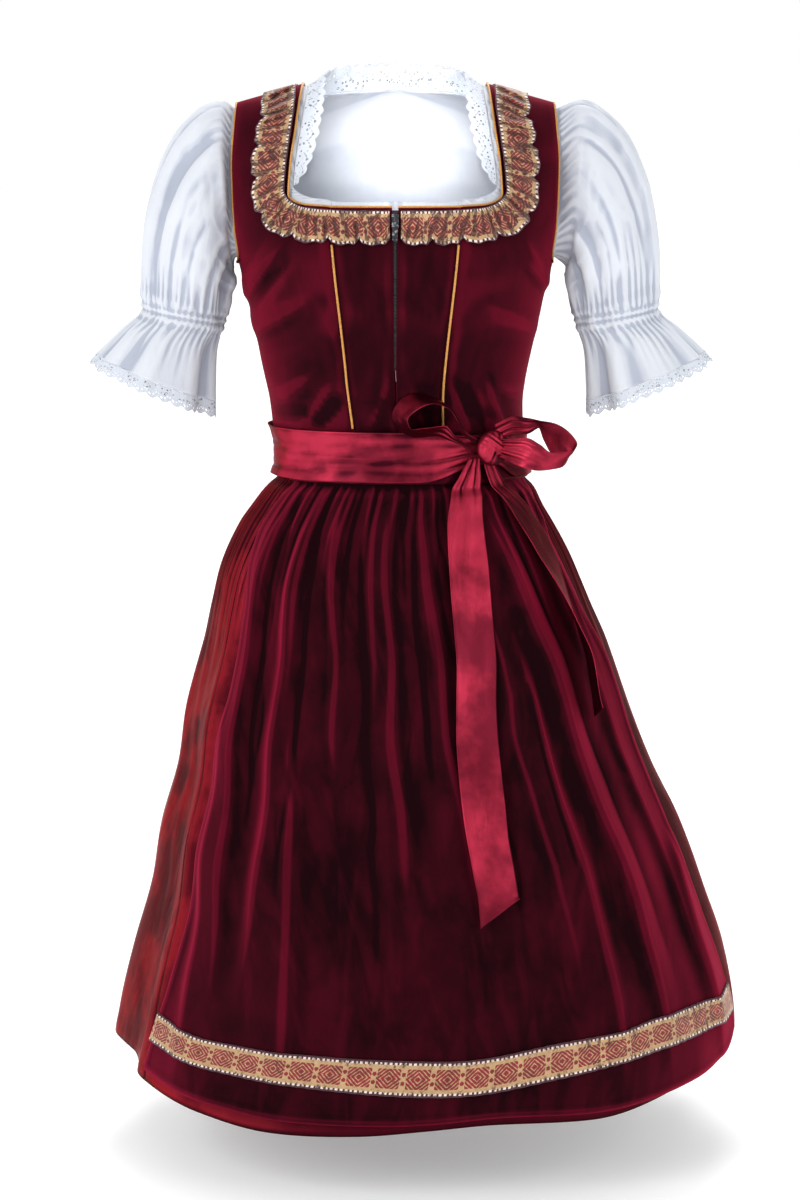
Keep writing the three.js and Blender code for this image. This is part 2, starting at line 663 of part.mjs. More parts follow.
// ---------------------------------------------------------------- skirt
const SKIRT_CORE = point(0, 0, -600);
const SKIRT_SEAM_ANGLE = 60;
const SKIRT_TOP_ROWS = [WAIST_SEAM_Z, -421, -432, -454];
const SKIRT_ROW_SHARES = [0.12, 0.3, 0.52, 0.76, 1]; // from the last of those rows to the hem
const FRONT_PITCH = 7.5;
const BACK_PITCH = 5;
const SKIRT_RECESS = 7; // the skirt lies this much deeper under the apron
const LONG_FOLD = { count: 12, deep: 20 };
const WAIST_GATHER_DEEP = 2.2;
const UNDER_APRON_FOLD = { count: 8, deep: 2 };

// The height of a row: the first rows are level, the rest share out what is left above the hem.
function rowHeight(topRows, shares, hem, row) {
  const lastTop = topRows[topRows.length - 1];
  return row < topRows.length ? topRows[row] : mix(lastTop, hem, shares[row - topRows.length]);
}

const edgeOf = (degrees, z) => readTable(APRON_EDGES, "z", z, degrees < 0 ? "left" : "right");

// Gathers and long folds of the skirt; none stands outside its outermost surface.
function skirtFold(degrees, z) {
  const grown = easeBetween(-404, -470, z);
  const long = easeBetween(-430, -900, z);
  const turn = degrees * DEGREE;
  const beyondApron = Math.abs(degrees) - Math.abs(edgeOf(degrees, z)) - 1;
  const under = 1 - easeBetween(0, 7, beyondApron);
  const wander = 0.35 * Math.sin(3 * turn + 0.8) + 0.2 * Math.sin(7 * turn);
  const deep = 0.5 - 0.5 * Math.cos(LONG_FOLD.count * (turn - Math.PI / 2) + wander);
  const gather = 0.5 - 0.5 * Math.cos((degrees * Math.PI) / BACK_PITCH);
  const free = LONG_FOLD.deep * long * deep + WAIST_GATHER_DEEP * grown * (1 - long) * gather;
  const ripple = UNDER_APRON_FOLD.deep * Math.sin(UNDER_APRON_FOLD.count * turn);
  const covered = grown * (SKIRT_RECESS + ripple);
  return -mix(free, covered, under);
}

function skirtGrid(from, to, pitch) {
  const columns = Math.round((to - from) / pitch);
  const grid = makeGrid(SKIRT_TOP_ROWS.length + SKIRT_ROW_SHARES.length - 1, columns, (i, j) => {
    const degrees = from + (j * (to - from)) / columns;
    const hem = readTable(SKIRT_HEM, "angle", degrees, "z");
    const z = rowHeight(SKIRT_TOP_ROWS, SKIRT_ROW_SHARES, hem, i);
    return skirtPoint(degrees, z, skirtFold(degrees, z));
  });
  return facingAway(grid, SKIRT_CORE);
}

const skirt = [
  { name: "skirt_front", grid: skirtGrid(-SKIRT_SEAM_ANGLE, SKIRT_SEAM_ANGLE, FRONT_PITCH) },
  { name: "skirt_back_right", grid: skirtGrid(-180, -SKIRT_SEAM_ANGLE, BACK_PITCH) },
  { name: "skirt_back_left", grid: skirtGrid(SKIRT_SEAM_ANGLE, 180, BACK_PITCH) },
];
const skirtNormals = sheetNormals(skirt.map((panel) => panel.grid));
for (const panel of skirt) {
  add(panel.name, clothWall([panel.grid], TAFFETA, skirtNormals), taffeta());
}

// ---------------------------------------------------------------- apron
const APRON_COLUMNS = 44;
const APRON_TOP_ROWS = [APRON_TOP_Z, -421, -432, -454, -492];
const APRON_ROW_SHARES = [0.15, 0.33, 0.52, 0.71, 0.88, 1];
const APRON_LIFT = 2.4;

// How far the apron stands off the skirt's outermost surface.
function apronLift(degrees, z) {
  let lift = APRON_LIFT;
  for (const fold of APRON_FOLDS) {
    const along = (z - fold.from) / (fold.to - fold.from);
    if (along <= 0 || along >= 1) continue;
    const upper = mix(fold.top, fold.mid, clamp01(along / FOLD_MID_SHARE));
    const lower = clamp01((along - FOLD_MID_SHARE) / (1 - FOLD_MID_SHARE));
    const angle = mix(upper, fold.foot, lower);
    const strength = easeBetween(0, FOLD_FADE.in, along) * easeBetween(1, FOLD_FADE.out, along);
    lift += fold.rise * strength * Math.exp(-(((degrees - angle) / fold.wide) ** 2));
  }
  const gathered = easeBetween(GATHER.from, GATHER.full, z) * easeBetween(GATHER.to, GATHER.full, z);
  return lift + GATHER.rise * gathered * (0.5 + 0.5 * Math.cos((2 * Math.PI * degrees) / GATHER.pitch));
}

function apronPoint(share, z, lift) {
  const degrees = mix(edgeOf(-1, z), edgeOf(1, z), share);
  return skirtPoint(degrees, z, apronLift(degrees, z) + lift);
}

// The height of a line across the apron that is given by angle.
function apronLineZ(table, column, share) {
  const angle = mix(table[0].angle, table[table.length - 1].angle, share);
  return readTable(table, "angle", angle, column);
}

const apronGrid = makeGrid(APRON_TOP_ROWS.length + APRON_ROW_SHARES.length - 1, APRON_COLUMNS, (i, j) => {
  const share = j / APRON_COLUMNS;
  const hem = apronLineZ(APRON_HEM, "z", share);
  return apronPoint(share, rowHeight(APRON_TOP_ROWS, APRON_ROW_SHARES, hem, i), 0);
});
add("apron", clothWall([facingAway(apronGrid, SKIRT_CORE)], VELVET), velvet());

const BRAID_ROWS = 1;
const BRAID_LIFT = 2;
const braidGrid = makeGrid(BRAID_ROWS, APRON_COLUMNS, (i, j) => {
  const share = j / APRON_COLUMNS;
  const top = apronLineZ(BRAID_EDGES, "top", share);
  const bottom = apronLineZ(BRAID_EDGES, "bottom", share);
  return apronPoint(share, mix(top, bottom, i / BRAID_ROWS), BRAID_LIFT);
});
add("apron_braid", clothWall([facingAway(braidGrid, SKIRT_CORE)], BRAID), jacquard());

// ---------------------------------------------------------------- waistband and tie ribbon
const WAIST_CORE = point(0, 0, -390);
const BAND_EDGE = { left: -58, right: 80 };
const BAND_COLUMNS = 20;
const BAND_ROWS = 3;
const bandGrid = makeGrid(BAND_ROWS, BAND_COLUMNS, (i, j) => {
  const degrees = mix(BAND_EDGE.left, BAND_EDGE.right, j / BAND_COLUMNS);
  return wrapPoint(degrees, mix(BAND.top, BAND.bottom, i / BAND_ROWS), BAND_LIFT);
});
add("apron_waistband", clothWall([facingAway(bandGrid, WAIST_CORE)], TAFFETA), taffeta());

// The ribbon narrows as it nears the knot from either side.
const TIE_COLUMNS = 44;
const TIE_ROWS = 3;
const TIE_KNOT_ANGLE = 40;
const TIE_NARROW = { start: 4, shortSide: 22, longSide: 34, top: 6, bottom: 17 };
const TIE_CREASE = { deep: 0.5, count: 5 };
const tieGrid = makeGrid(TIE_ROWS, TIE_COLUMNS, (i, j) => {
  const degrees = TIE_KNOT_ANGLE + (j % TIE_COLUMNS) * (360 / TIE_COLUMNS);
  const fromKnot = Math.min(degrees - TIE_KNOT_ANGLE, TIE_KNOT_ANGLE + 360 - degrees);
  const side = degrees - TIE_KNOT_ANGLE > 180 ? TIE_NARROW.longSide : TIE_NARROW.shortSide;
  const narrowing = 1 - easeBetween(TIE_NARROW.start, side, fromKnot);
  const top = TIE.top - TIE_NARROW.top * narrowing;
  const bottom = TIE.bottom + TIE_NARROW.bottom * narrowing;
  const atEdge = i === 0 || i === TIE_ROWS;
  const crease = atEdge ? 0 : TIE_CREASE.deep * Math.sin(TIE_CREASE.count * degrees * DEGREE + 2 * i);
  return wrapPoint(degrees, mix(top, bottom, i / TIE_ROWS), TIE.lift + TIE_CREASE.deep + crease);
});
add("tie_ribbon", clothWall([facingAway(tieGrid, WAIST_CORE)], TAFFETA), ribbon());

// ---------------------------------------------------------------- bow
// The level direction that a surface faces at an angle and height.
function facingOf(surface, degrees, z, lift) {
  const along = surface(degrees + 1, z, lift).sub(surface(degrees - 1, z, lift));
  return along.cross(point(0, 0, 1)).normalize();
}

const KNOT_CREASE = 0.07;
const KNOT_LOBES = 5;
const KNOT_SLANT = 0.15;
const KNOT_GAP = SEAM_GAP + 0.1;
const knotFacing = facingOf(wrapPoint, TIE_KNOT_ANGLE, KNOT.z, TIE.lift);
const knotTurn = Math.atan2(knotFacing.x, -knotFacing.y);
const knotOff = KNOT.deep * (1 + KNOT_CREASE) + KNOT.seat;
const knotCentre = wrapPoint(TIE_KNOT_ANGLE, KNOT.z, TIE.lift).addScaledVector(knotFacing, knotOff);

function knotGeometry(extra) {
  const geometry = new THREE.SphereGeometry(1, 14, 10); // unit radius, facets round and down
  const positions = geometry.attributes.position;
  for (let i = 0; i < positions.count; i++) {
    const x = positions.getX(i);
    const y = positions.getY(i);
    const z = positions.getZ(i);
    const crease = 1 + KNOT_CREASE * Math.cos(KNOT_LOBES * Math.atan2(y, x)) * (1 - z * z);
    positions.setXYZ(
      i,
      x * (KNOT.wide * crease + extra),
      y * (KNOT.deep * crease + extra),
      z * (KNOT.tall * (1 - KNOT_SLANT * x) + extra),
    );
  }
  geometry.rotateZ(knotTurn);
  geometry.translate(knotCentre.x, knotCentre.y, knotCentre.z);
  return geometry;
}

add("bow_knot", knotGeometry(0), ribbon());
const knotSpace = toManifold(knotGeometry(KNOT_GAP));
const cutByKnot = (geometry) => fromManifold(toManifold(geometry).subtract(knotSpace));

const RIBBON_COLUMNS = 3;
function loopGrid(rows) {
  return rows.map(({ near, far }) =>
    Array.from({ length: RIBBON_COLUMNS + 1 }, (_, j) =>
      point(...near).lerp(point(...far), j / RIBBON_COLUMNS),
    ),
  );
}

function tailGrid(rows) {
  return rows.map((row) => {
    const middle = skirtPoint(row.angle, row.z, row.lift);
    const out = skirtPoint(row.angle, row.z, row.lift + 1).sub(middle).normalize();
    const across = point(0, 0, 1).cross(out).normalize();
    const turn = row.turn * DEGREE;
    const side = across.multiplyScalar(Math.cos(turn)).addScaledVector(out, Math.sin(turn));
    return Array.from({ length: RIBBON_COLUMNS + 1 }, (_, j) => {
      const share = j / RIBBON_COLUMNS - 0.5;
      const p = middle.clone().addScaledVector(side, share * row.wide);
      p.z += share * (row.slant ?? 0);
      return p;
    });
  });
}

const ribbonPieces = [
  { name: "bow_loop_right", grid: loopGrid(LOOP_RIGHT_HAND) },
  { name: "bow_loop_left", grid: loopGrid(LOOP_LEFT_HAND) },
  { name: "bow_tail_front", grid: tailGrid(TAIL_FRONT) },
  { name: "bow_tail_back", grid: tailGrid(TAIL_BACK) },
];
for (const piece of ribbonPieces) {
  add(piece.name, cutByKnot(clothWall([piece.grid], TAFFETA)), ribbon());
}

// ---------------------------------------------------------------- blouse
function blouseRows(rows, neck) {
  const changed = rows.map((row, i) => ({ ...row, ...neck.find((entry) => entry.row === i) }));
  return changed.slice(BLOUSE_FIRST_ROW);
}

// The front body in one piece: the centre and side columns of both sides joined.
function blouseFrontGrids() {
  const rows = blouseRows(SIDE_FRONT_ROWS, BLOUSE_FRONT_NECK);
  const centreRows = CENTRE_FRONT_COUNT - BLOUSE_FIRST_ROW;
  const halves = SIDES.map(({ sign }) => ({
    side: rows.map((row) => panelRow(sign, row, false, BLOUSE_INSET, SIDE_COLUMNS)),
    centre: rows.slice(0, centreRows).map((row) => {
      const to = torsoAngle(row.x, row.z, false, BLOUSE_INSET);
      return Array.from({ length: CENTRE_COLUMNS + 1 }, (_, j) =>
        sidePoint(sign, (to * j) / CENTRE_COLUMNS, row.z, BLOUSE_INSET),
      );
    }),
  }));
  return halves.flatMap(({ side, centre }) => [facingAway(side, TORSO_CORE), facingAway(centre, TORSO_CORE)]);
}

function blouseBackGrids() {
  const rows = blouseRows(BACK_ROWS, BLOUSE_BACK_NECK);
  return SIDES.map(({ sign }) => panelGrid(sign, rows, true, BLOUSE_INSET));
}

const blouseNormals = sheetNormals([...blouseFrontGrids(), ...blouseBackGrids()]);
add("blouse_front", clothWall(blouseFrontGrids(), COTTON, blouseNormals), cotton());
add("blouse_back", clothWall(blouseBackGrids(), COTTON, blouseNormals), cotton());

// ---------------------------------------------------------------- sleeves
// The edge of an armhole, from the shoulder down the front and up the back.
const ARMHOLE_FOOT = 5; // the row where the armhole begins
function armholeLoop(sign, inset) {
  const front = SIDE_FRONT_ROWS.slice(ARMHOLE_FOOT).reverse();
  const back = BACK_ROWS.slice(ARMHOLE_FOOT + 1, -1);
  const at = (row, turned) => {
    const angle = (turned ? 180 - row.angle : row.angle) * DEGREE;
    return sidePoint(sign, angle, row.zOut, inset, row.ridge);
  };
  return [...front.map((row) => at(row, false)), ...back.map((row) => at(row, true))];
}

const middleOf = (points) =>
  points.reduce((sum, p) => sum.add(p), point(0, 0, 0)).multiplyScalar(1 / points.length);

// A closed loop drawn towards its middle in the plane that faces sideways, and moved outwards.
function drawLoop(loop, sign, inwards, outwards) {
  const middle = middleOf(loop);
  return loop.map((p) => {
    const radial = point(0, p.y - middle.y, p.z - middle.z).normalize();
    return p.clone().addScaledVector(radial, -inwards).add(point(sign * outwards, 0, 0));
  });
}

// Twice as many points on the same loop.
const halvedLoop = (loop) =>
  loop.flatMap((p, i) => [p, p.clone().lerp(loop[(i + 1) % loop.length], 0.5)]);

const SLEEVE_COLUMNS = 32;
const HEAD_DRAW = 2; // clear of the blouse's armhole edge
const PASSING_DRAW = 6; // clear of the piping round the bodice's armhole
const PASSING_OUT = 3;

// A ring of the sleeve; its gathers or waves move its points in and out.
function sleeveRing(sign, ring, waves) {
  const outPoint = point(sign * ring.outX, 0, ring.outZ);
  const inPoint = point(sign * ring.inX, 0, ring.inZ);
  const middle = outPoint.clone().lerp(inPoint, 0.5);
  const reach = outPoint.clone().sub(middle);
  return Array.from({ length: SLEEVE_COLUMNS }, (_, j) => {
    const turn = (j / SLEEVE_COLUMNS) * 2 * Math.PI;
    const uneven = 0.65 + 0.35 * Math.sin(3 * turn + sign);
    const wave = ring.gather * uneven * Math.cos(waves * turn + 0.7 * sign);
    const radial = reach.clone().multiplyScalar(Math.cos(turn));
    radial.y = -ring.deep * Math.sin(turn);
    return middle.clone().add(radial).addScaledVector(radial.clone().normalize(), wave - ring.gather / 2);
  });
}

const closedRow = (row) => [...row, row[0]];

function sleeveGrid(sign) {
  const head = halvedLoop(drawLoop(armholeLoop(sign, BLOUSE_INSET), sign, HEAD_DRAW, -1));
  const passing = halvedLoop(drawLoop(armholeLoop(sign, 0), sign, PASSING_DRAW, PASSING_OUT));
  const rings = SLEEVE_RINGS.map((ring, i) =>
    sleeveRing(sign, ring, i > CASING_RING ? FLOUNCE_WAVE_COUNT : SLEEVE_GATHER_COUNT),
  );
  return [head, passing, ...rings].map(closedRow);
}

// The lace continues the flounce; its free edge runs in points.
function cuffLaceGrid(sign) {
  const lastRing = SLEEVE_RINGS[SLEEVE_RINGS.length - 1];
  const sewn = halvedLoop(sleeveRing(sign, lastRing, FLOUNCE_WAVE_COUNT));
  const free = halvedLoop(sleeveRing(sign, CUFF_LACE_END, FLOUNCE_WAVE_COUNT));
  const pointed = free.map((p, j) => {
    const along = p.clone().sub(sewn[j]).normalize();
    return p.clone().addScaledVector(along, j % 2 ? -PICOT_DEPTH : 0);
  });
  const start = sewn.map((p, j) => p.clone().addScaledVector(free[j].clone().sub(p).normalize(), SEAM_GAP));
  return [start, pointed].map(closedRow);
}

for (const { name, sign } of SIDES) {
  const core = point(sign * 225, 0, -170);
  const cuffCore = point(sign * 262, 0, -300);
  add(`sleeve_${name}`, clothWall([facingAway(sleeveGrid(sign), core)], COTTON), cotton());
  add(`cuff_lace_${name}`, clothWall([facingAway(cuffLaceGrid(sign), cuffCore)], LACE), cotton());
}

// ---------------------------------------------------------------- neck lace
const LACE_SEAM = 0.7;

// The blouse's neck edge at a row of its front or back table.
function blouseNeckPoint(sign, table, rowNumber, back) {
  const row = table.find((entry) => entry.row === rowNumber);
  const inset = BLOUSE_INSET + (row.deeper ?? 0);
  const ridge = rowNumber === SIDE_FRONT_ROWS.length - 1;
  return sidePoint(sign, torsoAngle(row.x, row.z, back, inset), row.z, inset, ridge);
}

// The lace runs from one front corner over the shoulders and round the back of the neck.
function neckLaceHalf(sign) {
  const middle = readTable(TORSO, "z", 0, "shift");
  const front = NECK_LACE_FRONT.map(({ row, freeX, freeZ }) => [
    blouseNeckPoint(sign, BLOUSE_FRONT_NECK, row, false),
    sidePoint(sign, torsoAngle(freeX, freeZ, false, BLOUSE_INSET), freeZ, BLOUSE_INSET),
  ]);
  const back = NECK_LACE_BACK.map(({ row, freeX, freeZ, lean }) => {
    const sewn = blouseNeckPoint(sign, BLOUSE_BACK_NECK, row, true);
    return [sewn, point(middle + sign * freeX, sewn.y + lean, freeZ)];
  });
  return [...front, ...back].map(([sewn, free]) => {
    const across = free.clone().sub(sewn).normalize();
    return [sewn.addScaledVector(across, LACE_SEAM), free];
  });
}

function finerRows(rows, parts) {
  const finer = rows.slice(0, -1).flatMap((row, i) =>
    Array.from({ length: parts }, (_, k) => row.map((p, j) => p.clone().lerp(rows[i + 1][j], k / parts))),
  );
  return [...finer, rows[rows.length - 1]];
}

const NECK_PICOT = 3;
const NECK_LACE_PARTS = 3;
function neckLaceGrid() {
  const left = neckLaceHalf(1);
  const right = neckLaceHalf(-1).slice(0, -1);
  const rows = finerRows([...right, ...left.reverse()], NECK_LACE_PARTS);
  return rows.map(([sewn, free], i) => {
    const along = free.clone().sub(sewn).normalize();
    return [sewn, free.clone().addScaledVector(along, i % 2 ? -NECK_PICOT : 0)];
  });
}
add("neck_lace", clothWall([facingAway(neckLaceGrid(), point(0, 20, -60))], LACE), cotton());

// ---------------------------------------------------------------- neckline braid
// The ruched braid stands off the velvet in uneven waves between its tucks.
function neckBraidGrid(sign, table, back, parts, ruche) {
  let length = 0;
  let before = null;
  const rows = finerRows(
    table.map((row) => [point(row.x, 0, row.z), point(row.outX, 0, row.outZ)]),
    parts,
  );
  return rows.map(([inner, outer]) => {
    const middle = inner.clone().lerp(outer, 0.5);
    length += before ? middle.distanceTo(before) : 0;
    before = middle;
    const phase = (2 * Math.PI * length) / NECK_TUCK_PITCH;
    return Array.from({ length: NECK_BRAID_COLUMNS + 1 }, (_, j) => {
      const share = j / NECK_BRAID_COLUMNS;
      const scallop = ruche * NECK_SCALLOP * share * Math.cos(phase + 0.6 * sign);
      const reach = outer.clone().sub(inner).normalize();
      const p = inner.clone().lerp(outer, share).addScaledVector(reach, scallop);
      const swell = 1 + Math.cos(phase + 2.2 * share + sign);
      const wave = ruche * NECK_PUFF * swell * (0.4 + 0.6 * share);
      const lift = -(NECK_BRAID_LIFT + wave);
      return sidePoint(sign, torsoAngle(p.x, p.z, back, lift), p.z, lift);
    });
  });
}

for (const { name, sign } of SIDES) {
  const grid = neckBraidGrid(sign, NECK_BRAID_FRONT, false, 3, 1);
  add(`neck_braid_${name}`, clothWall([facingAway(grid, TORSO_CORE)], BRAID), jacquard());
}

function backBraidGrid() {
  const left = neckBraidGrid(1, NECK_BRAID_BACK, true, 2, BACK_RUCHE);
  const right = neckBraidGrid(-1, NECK_BRAID_BACK, true, 2, BACK_RUCHE).slice(0, -1);
  return [...right, ...left.reverse()];
}
add("neck_braid_back", clothWall([facingAway(backBraidGrid(), TORSO_CORE)], BRAID), jacquard());

// ---------------------------------------------------------------- cords and piping
// A princess cord lies on the seam, straight between the seam's own points.
const PRINCESS_CORD = { top: -166, bottom: -362, clear: 0.4 };
function princessCordRoute(sign) {
  const lift = -(CORD_RADIUS + PRINCESS_CORD.clear);
  const seam = SIDE_FRONT_ROWS.slice(0, CENTRE_FRONT_COUNT).map((row) =>
    sidePoint(sign, torsoAngle(row.x, row.z, false, lift), row.z, lift),
  );
  const upper = seam.findIndex((p) => p.z > PRINCESS_CORD.top);
  const cut = (a, b, z) => a.clone().lerp(b, (z - a.z) / (b.z - a.z));
  const foot = cut(seam[0], seam[1], PRINCESS_CORD.bottom);
  const head = cut(seam[upper - 1], seam[upper], PRINCESS_CORD.top);
  return [foot, ...seam.slice(1, upper), head];
}

// Piping lies against a cloth edge: its route is the edge moved off it along the cloth.
function pipingRoute(edge, hole) {
  const off = PIPING_RADIUS + PIPING_CLEAR;
  return edge.map((p, i) => {
    const before = edge[Math.max(0, i - 1)];
    const after = edge[Math.min(edge.length - 1, i + 1)];
    const along = after.clone().sub(before).normalize();
    const normal = bodiceNormals.get(keyOf(p));
    const away = normal.clone().cross(along).normalize();
    if (away.dot(hole.clone().sub(p)) < 0) away.negate();
    const bend = Math.max(LEAST_MITRE, after.clone().sub(p).normalize().dot(along) || 1);
    return p.clone().addScaledVector(away, off / bend).addScaledVector(normal, -VELVET / 2);
  });
}

for (const { name, sign } of SIDES) {
  add(`princess_cord_${name}`, cordGeometry(princessCordRoute(sign), CORD_RADIUS), gold());
  const loop = armholeLoop(sign, 0);
  const foot = SIDE_FRONT_ROWS.length - 1 - ARMHOLE_FOOT;
  const route = [...loop.slice(foot), ...loop.slice(0, foot)];
  const piping = pipingRoute([...route, route[0]], middleOf(route));
  add(`armhole_piping_${name}`, cordGeometry(piping, PIPING_RADIUS), gold());
}

const BACK_NECK_ROW = 9; // the back panels' rows from here run along the neckline
function neckEdge(sign) {
  const top = SIDE_FRONT_ROWS[CENTRE_FRONT_COUNT - 1];
  const from = torsoAngle(ZIP_EDGE[CENTRE_FRONT_COUNT - 1], top.z);
  const to = torsoAngle(top.x, top.z);
  const across = Array.from({ length: CENTRE_COLUMNS + 1 }, (_, j) =>
    sidePoint(sign, mix(from, to, j / CENTRE_COLUMNS), top.z),
  );
  const front = SIDE_FRONT_ROWS.slice(CENTRE_FRONT_COUNT).map((row) =>
    sidePoint(sign, torsoAngle(row.x, row.z), row.z, 0, row.ridge),
  );
  const back = BACK_ROWS.slice(BACK_NECK_ROW, -1).reverse().map((row) =>
    sidePoint(sign, torsoAngle(row.x, row.z, true), row.z),
  );
  return [...across, ...front, ...back];
}
const neckRoute = [...neckEdge(-1), ...neckEdge(1).reverse().slice(1)];
add("neck_piping", cordGeometry(pipingRoute(neckRoute, point(-5, 0, -40)), PIPING_RADIUS), gold());

// ---------------------------------------------------------------- zip
function zipTape() {
  const section = [
    [-ZIP.tapeHalf, ZIP.tapeBack],
    [-ZIP.tapeHalf, ZIP.tapeFront],
    [-ZIP.coilHalf, ZIP.tapeFront],
    [-ZIP.coilHalf, COIL_FRONT],
    [ZIP.coilHalf, COIL_FRONT],
    [ZIP.coilHalf, ZIP.tapeFront],
    [ZIP.tapeHalf, ZIP.tapeFront],
    [ZIP.tapeHalf, ZIP.tapeBack],
  ].map(([x, depth]) => new THREE.Vector2(x, depth));
  const rowHeights = SIDE_FRONT_ROWS.slice(3, CENTRE_FRONT_COUNT - 1).map((row) => row.z);
  const heights = [ZIP.bottom, ...rowHeights, ZIP.top];
  const rings = heights.map((z) => {
    const middle = torsoPoint(0, z);
    return section.map((corner) => point(middle.x + corner.x, middle.y + corner.y, z));
  });
  return loftGeometry(rings, section);
}
add("zip_tape", zipTape(), blackMetal());

// The slider stands on the coil with a bridge in front; the pull's bar passes under the bridge.
// Both are drawn from the side: u runs out from the cloth, v up along it.
function sideProfile(points) {
  return new THREE.Shape(points.map(([u, v]) => new THREE.Vector2(u, v)));
}

function widthExtrusion(shape, width) {
  const geometry = new THREE.ExtrudeGeometry(shape, { depth: width, bevelEnabled: false });
  geometry.translate(0, 0, -width / 2);
  // (u, v, width) becomes (-y, z, -x)
  geometry.applyMatrix4(new THREE.Matrix4().set(0, 0, -1, 0, -1, 0, 0, 0, 0, 1, 0, 0, 0, 0, 0, 1));
  return geometry;
}

const rectangle = (u, v, uSize, vSize) =>
  sideProfile([
    [u, v],
    [u + uSize, v],
    [u + uSize, v + vSize],
    [u, v + vSize],
  ]);

const SLIDER_STEM = { wide: 3, share: 0.7, sunk: 0.5 }; // joins the plate to the coil's groove
const BRIDGE_SUNK = 0.4;

function sliderGeometry() {
  const half = SLIDER.tall / 2;
  const plate = widthExtrusion(
    sideProfile([
      [SLIDER.off, -half],
      [SLIDER.off + SLIDER.thick * 0.7, -half],
      [SLIDER.off + SLIDER.thick, -half * 0.6],
      [SLIDER.off + SLIDER.thick, half * 0.7],
      [SLIDER.off + SLIDER.thick * 0.6, half],
      [SLIDER.off, half],
    ]),
    SLIDER.wide,
  );
  const stemHalf = half * SLIDER_STEM.share;
  const stemDeep = SLIDER.off - SLIDER.stem + SLIDER_STEM.sunk;
  const stem = widthExtrusion(rectangle(SLIDER.stem, -stemHalf, stemDeep, 2 * stemHalf), SLIDER_STEM.wide);
  const base = SLIDER.off + SLIDER.thick - BRIDGE_SUNK;
  const bridge = rectangle(base, -BRIDGE.tall / 2, BRIDGE.rise + BRIDGE_SUNK, BRIDGE.tall);
  const windowDeep = BRIDGE.rise - BRIDGE.bar;
  const window = rectangle(base + BRIDGE_SUNK, -BRIDGE.window / 2, windowDeep, BRIDGE.window);
  bridge.holes.push(window);
  const parts = [stem, widthExtrusion(bridge, BRIDGE.wide)].map(toManifold);
  return fromManifold(parts.reduce((solid, part) => solid.add(part), toManifold(plate)));
}

// The pull hangs from its bar, with its eye round the bridge.
function pullGeometry() {
  const halfWide = PULL.wide / 2;
  const eyeHalf = halfWide - PULL.arm;
  const outline = new THREE.Shape();
  outline.moveTo(-halfWide, PULL.thick / 2);
  outline.lineTo(-halfWide, -PULL.long + PULL.foot / 2);
  outline.absarc(0, -PULL.long + PULL.foot / 2, PULL.foot / 2, Math.PI, 2 * Math.PI, false);
  outline.lineTo(halfWide, -PULL.eye - PULL.arm);
  outline.lineTo(halfWide, PULL.thick / 2);
  outline.closePath();
  const eye = new THREE.Path();
  eye.moveTo(-eyeHalf, -PULL.thick / 2);
  eye.lineTo(eyeHalf, -PULL.thick / 2);
  eye.lineTo(eyeHalf, -PULL.eye - PULL.thick / 2);
  eye.lineTo(-eyeHalf, -PULL.eye - PULL.thick / 2);
  eye.closePath();
  outline.holes.push(eye);
  const options = { depth: PULL.thick, bevelEnabled: false, curveSegments: 6 };
  const geometry = new THREE.ExtrudeGeometry(outline, options);
  geometry.translate(0, 0, -PULL.thick / 2);
  geometry.rotateX(Math.PI / 2);
  return geometry;
}

// The zip runs up a leaning front: its slider leans with it and the pull hangs along it.
const SLOPE_STEP = 10;
const sliderSeat = torsoPoint(0, SLIDER.z);
const above = torsoPoint(0, SLIDER.z + SLOPE_STEP);
const lean = -Math.atan2(above.y - sliderSeat.y, SLOPE_STEP);
const slider = new THREE.Group();
slider.position.copy(sliderSeat);
slider.rotation.x = lean;
const sliderMesh = new THREE.Mesh(sliderGeometry(), blackMetal());
sliderMesh.name = "zip_slider";
const pullMesh = new THREE.Mesh(pullGeometry(), blackMetal());
pullMesh.name = "zip_pull_tab";
pullMesh.position.y = -(SLIDER.off + SLIDER.thick + (BRIDGE.rise - BRIDGE.bar) / 2);
slider.add(sliderMesh, pullMesh);
dirndl.add(slider);

export default dirndl;
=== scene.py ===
# %% [markdown]
# # A dirndl, shown as on a figure
# Velvet bodice, shot taffeta skirt, velvet apron tied with a taffeta ribbon, and the white
# puff-sleeved blouse worn under it. The solid model fixes every size. Here each panel becomes a
# thin sheet on the same surface, with its folds, seams, gathers and weave.

import math

